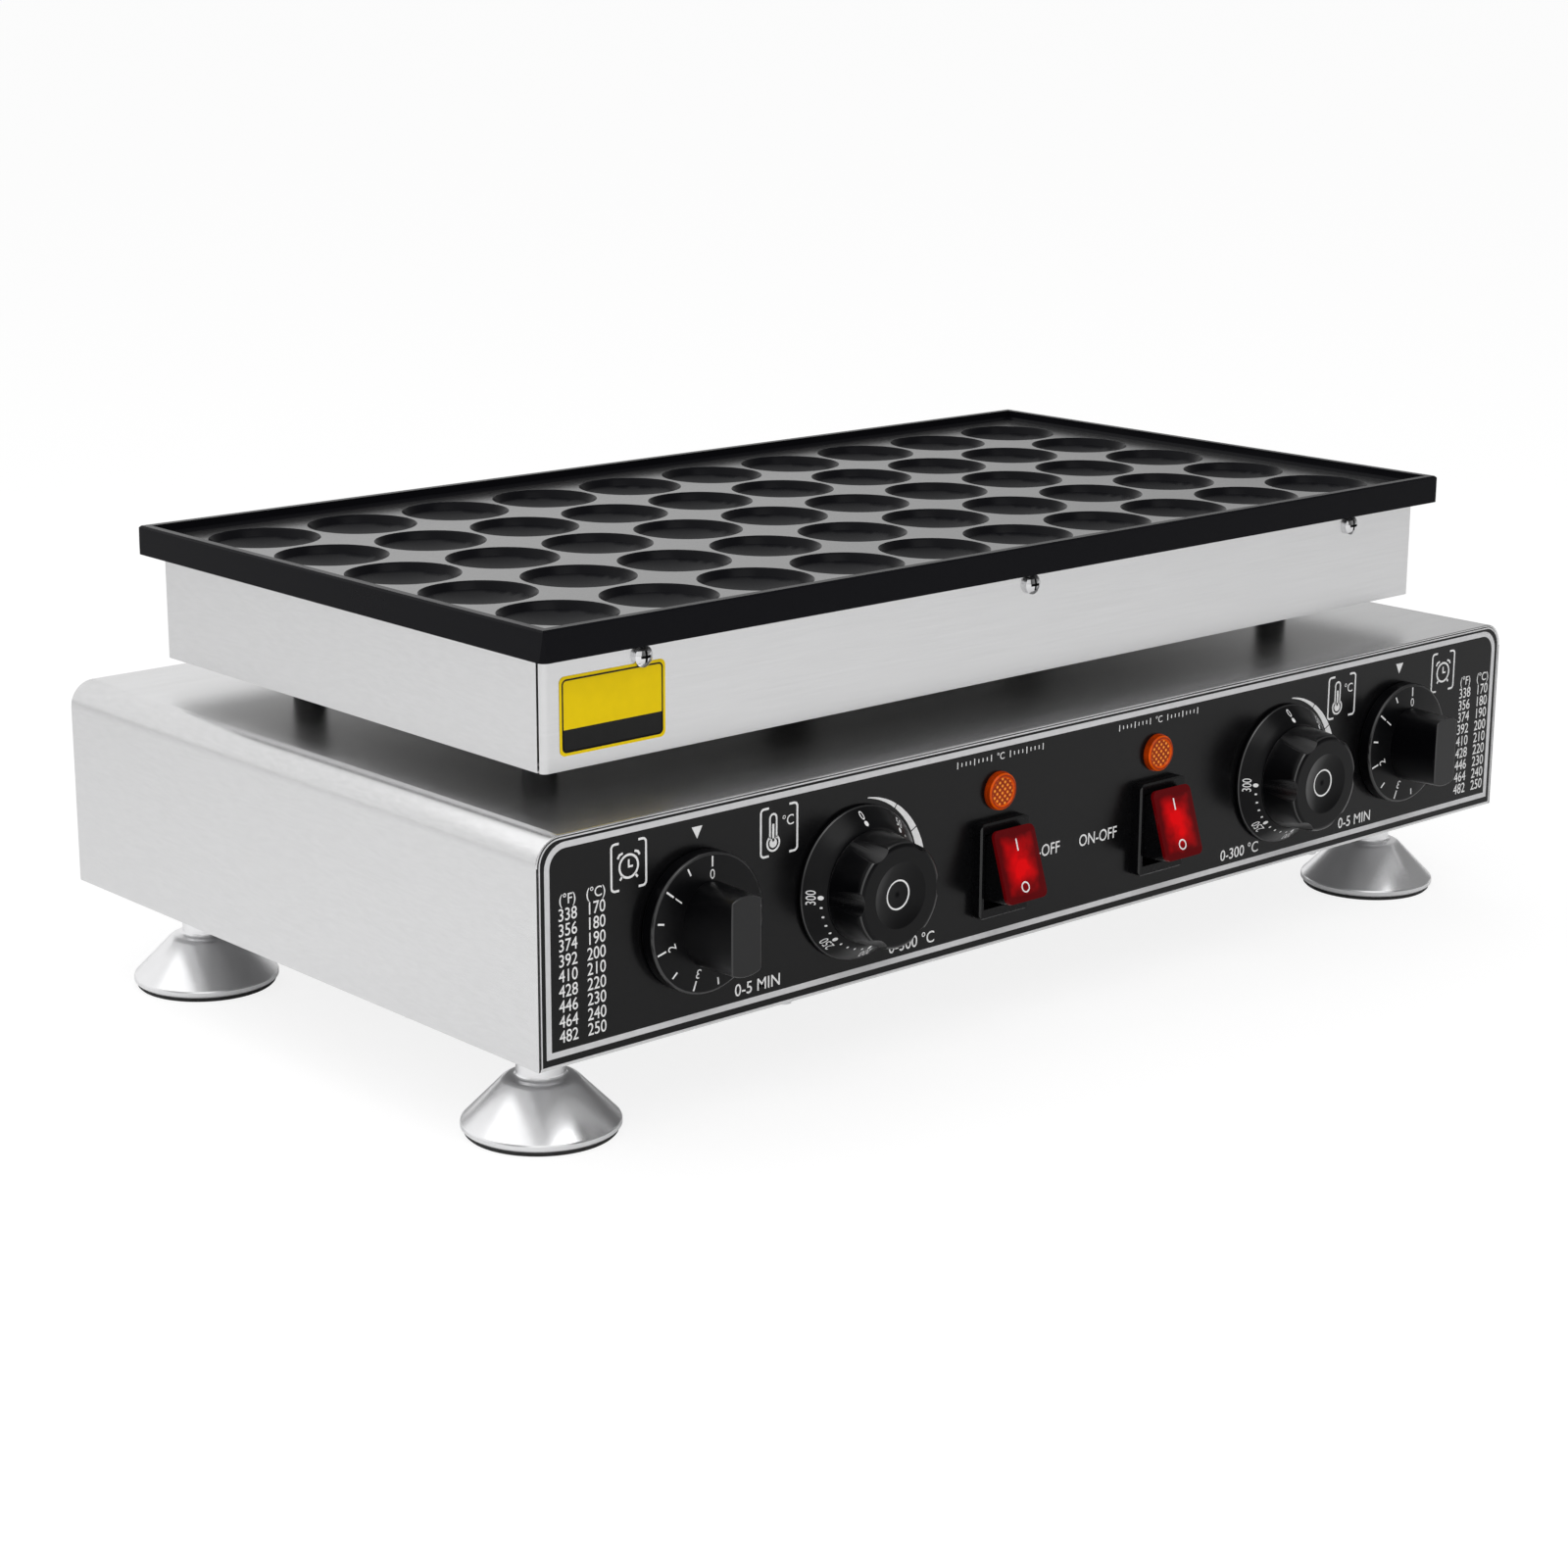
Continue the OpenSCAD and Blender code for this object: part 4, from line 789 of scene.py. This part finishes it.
def in_dish(node):
    """Placer for a mark in the shallow dish on a thermostat knob's front."""
    centre, front = middle(node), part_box(node)[0].y
    ball = (DISH_R ** 2 + DISH_DEPTH ** 2) / (2 * DISH_DEPTH)

    def place(x, y):
        sunk = DISH_DEPTH - (x * x + y * y) / (2 * ball)
        return Vector((centre.x + x * MM, front + sunk * MM - PRINT_GAP, centre.z + y * MM))

    return place


for side in SIDES:
    badge, dish = ring(0, 0, BADGE_R, BADGE_LINE), in_dish(f"thermostat_knob_{side}")
    add_piece(f"thermostat_badge_{side}", badge, dish, WHITE_INK, f"thermostat_{side}")


# Marks on the rockers, whose faces lean at rest

ROCKER_PIVOT = 3.2
ROCKER_FACE, ROCKER_GAP = 11.0, 0.08
ROCKER_TILT = math.radians(18)
ON_MARK, ON_LINE = [(0, 5.6), (0, 10.6)], 0.75
OFF_Y, OFF_R, OFF_LINE = -9.5, 2.0, 0.65


def on_rocker(side):
    """Placer for marks on a rocker's face, tilted as it is at rest."""
    centre = middle(f"switch_housing_{side}")

    def place(x, y):
        out = ROCKER_FACE + ROCKER_GAP
        up = y * math.cos(ROCKER_TILT) + out * math.sin(ROCKER_TILT)
        away = -y * math.sin(ROCKER_TILT) + out * math.cos(ROCKER_TILT) + ROCKER_PIVOT
        return Vector((centre.x + x * MM, PANEL_Y - away * MM, centre.z + up * MM))

    return place


for side in SIDES:
    signs = stroke(ON_MARK, ON_LINE) + ring(0, OFF_Y, OFF_R, OFF_LINE)
    add_piece(f"rocker_marks_{side}", signs, on_rocker(side), WHITE_INK, f"switch_{side}")


# Bare yellow sticker on the box front: x from the middle, y above the box bottom

STICKER_LEFT, STICKER_LOW, STICKER_RIGHT, STICKER_HIGH = -250, 5.5, -199, 36
STICKER_R, STICKER_LIFT = 2.5, 0.12
INSET, INSET_R, INSET_LINE, INSET_LIFT = 1.5, 1.8, 0.7, 0.16
BAND_HIGH = STICKER_LOW + 10


def on_box_front(lift):
    """Placer for marks in front of the heater box."""

    def place(x, y):
        return Vector((x * MM, BOX_LOW.y - lift * MM, BOX_LOW.z + y * MM))

    return place


def sticker_outline(inset, high, radii):
    """Outline inside the sticker's left, lower and right edges, up to high."""
    return rounded(STICKER_LEFT + inset, STICKER_LOW + inset, STICKER_RIGHT - inset, high, radii)


sheet = sticker_outline(0, STICKER_HIGH, (STICKER_R,) * 4)
frame_line = stroke(sticker_outline(INSET, STICKER_HIGH - INSET, (INSET_R,) * 4), INSET_LINE, closed=True)
band = sticker_outline(INSET, BAND_HIGH, (INSET_R, INSET_R, 0, 0))
add_piece("sticker", [sheet], on_box_front(STICKER_LIFT), YELLOW, "griddle")
add_piece("sticker_print", frame_line + [band], on_box_front(INSET_LIFT), INK_BLACK, "griddle")


# Stage: floor, light and camera

FLOOR_REACH = 30.0
FLOOR_LIFT, FLOOR_SEEN, MIRROR_LIFT = 0.83, 0.24, 0.1
STUDIO = 0.95
CAMERA_SIDE = Vector((-0.66, -0.74, 0.12))
CAMERA_RIGHT = Vector((0.746, -0.666, 0.0))
FOCAL_LENGTH, SENSOR_WIDTH, VIEW_END = 74.34, 36.0, 100.0
CAMERA_AT = Vector((-0.96515, -1.05044, 0.45067))
VIEW_RIGHT = Vector((0.745808, -0.666147, 0.004177))
VIEW_UP = Vector((0.168586, 0.194804, 0.966245))


def light_path(tree):
    """Two outputs: 1 for camera rays and rays through clear pieces, and 1 for mirrored rays."""
    path = tree.nodes.new("ShaderNodeLightPath")
    straight = maths(tree, "MAXIMUM", path.outputs["Is Camera Ray"], path.outputs["Is Transmission Ray"])
    return straight, path.outputs["Is Glossy Ray"]


def floor():
    """White floor with a soft shadow: lifted to white for the camera, and as it is lit for other rays."""
    mesh = bpy.data.meshes.new("floor")
    corners = [(x * FLOOR_REACH, y * FLOOR_REACH, 0) for x, y in ((-1, -1), (1, -1), (1, 1), (-1, 1))]
    mesh.from_pydata(corners, [], [(0, 1, 2, 3)])
    look = shader("floor_white", (0.9, 0.9, 0.9), 0.9, 0.0, 0.01, 2.0, Specular_IOR_Level=0.0,
                  Emission_Color=(1, 1, 1, 1))
    tree = look.node_tree
    main = tree.nodes["Principled BSDF"]
    straight, mirror = light_path(tree)
    seen = tree.nodes.new("ShaderNodeMix")
    seen.data_type = "RGBA"
    seen.inputs["B"].default_value = (FLOOR_SEEN, FLOOR_SEEN, FLOOR_SEEN, 1)
    tree.links.new(straight, seen.inputs["Factor"])
    tree.links.new(main.inputs["Base Color"].links[0].from_socket, seen.inputs["A"])
    tree.links.new(seen.outputs["Result"], main.inputs["Base Color"])
    mirrored = maths(tree, "MULTIPLY", mirror, MIRROR_LIFT)
    lift = maths(tree, "MULTIPLY_ADD", straight, FLOOR_LIFT, mirrored)
    tree.links.new(lift, main.inputs["Emission Strength"])
    mesh.materials.append(look)
    linked("floor", mesh)


def softbox(name, at, aim, size, power):
    """Square lamp that faces the point aim."""
    light = bpy.data.lights.new(name, "AREA")
    light.shape = "RECTANGLE"
    light.size, light.size_y = size, size
    light.energy = power
    item = linked(name, light)
    item.location = at
    item.rotation_mode = "QUATERNION"
    item.rotation_quaternion = (Vector(aim) - Vector(at)).to_track_quat("-Z", "Y")


def dimmer(tree, direction, way, start, end, low):
    """Level that falls from 1 to low as a direction turns toward way."""
    toward = tree.nodes.new("ShaderNodeVectorMath")
    toward.operation = "DOT_PRODUCT"
    toward.inputs[1].default_value = way
    tree.links.new(direction, toward.inputs[0])
    level = ranged(tree, toward.outputs["Value"], start, end, 1.0, low)
    level.interpolation_type = "SMOOTHSTEP"
    return level.outputs["Result"]


def sky():
    """White backdrop for the camera. Other rays see a pale studio, dim near the camera and to its right."""
    world = bpy.data.worlds.new("studio")
    bpy.context.scene.world = world
    world.use_nodes = True
    tree = world.node_tree
    back = tree.nodes["Background"]
    socket(back, "Color", (1, 1, 1, 1))
    direction = tree.nodes.new("ShaderNodeTexCoord").outputs["Generated"]
    front = dimmer(tree, direction, CAMERA_SIDE, start=0.25, end=0.8, low=0.35)
    right = dimmer(tree, direction, CAMERA_RIGHT, start=-0.25, end=0.65, low=0.28)
    level = maths(tree, "MULTIPLY", maths(tree, "MULTIPLY", front, right), STUDIO)
    straight, _ = light_path(tree)
    tree.links.new(maths(tree, "MAXIMUM", straight, level), back.inputs["Strength"])


def camera():
    """Camera solved from the photograph: 1600 x 1600 frame, no shift."""
    lens = bpy.data.cameras.new("camera")
    lens.sensor_width = SENSOR_WIDTH
    lens.lens = FOCAL_LENGTH
    lens.clip_end = VIEW_END
    item = linked("camera", lens)
    turn = Matrix((VIEW_RIGHT, VIEW_UP, VIEW_RIGHT.cross(VIEW_UP))).transposed()
    item.matrix_world = Matrix.Translation(CAMERA_AT) @ turn.to_4x4()
    bpy.context.scene.camera = item


floor()
sky()
softbox("key", at=(-1.3, -2.3, 1.6), aim=(0, 0, 0.1), size=3.2, power=24)
softbox("top", at=(-0.1, -1.5, 1.9), aim=(0, -0.1, 0.1), size=1.3, power=10)
softbox("side", at=(-1.0, 0.1, 1.2), aim=(-0.6, 0.15, 0), size=1.8, power=4.4)
camera()
bpy.context.scene.view_settings.view_transform = "Standard"
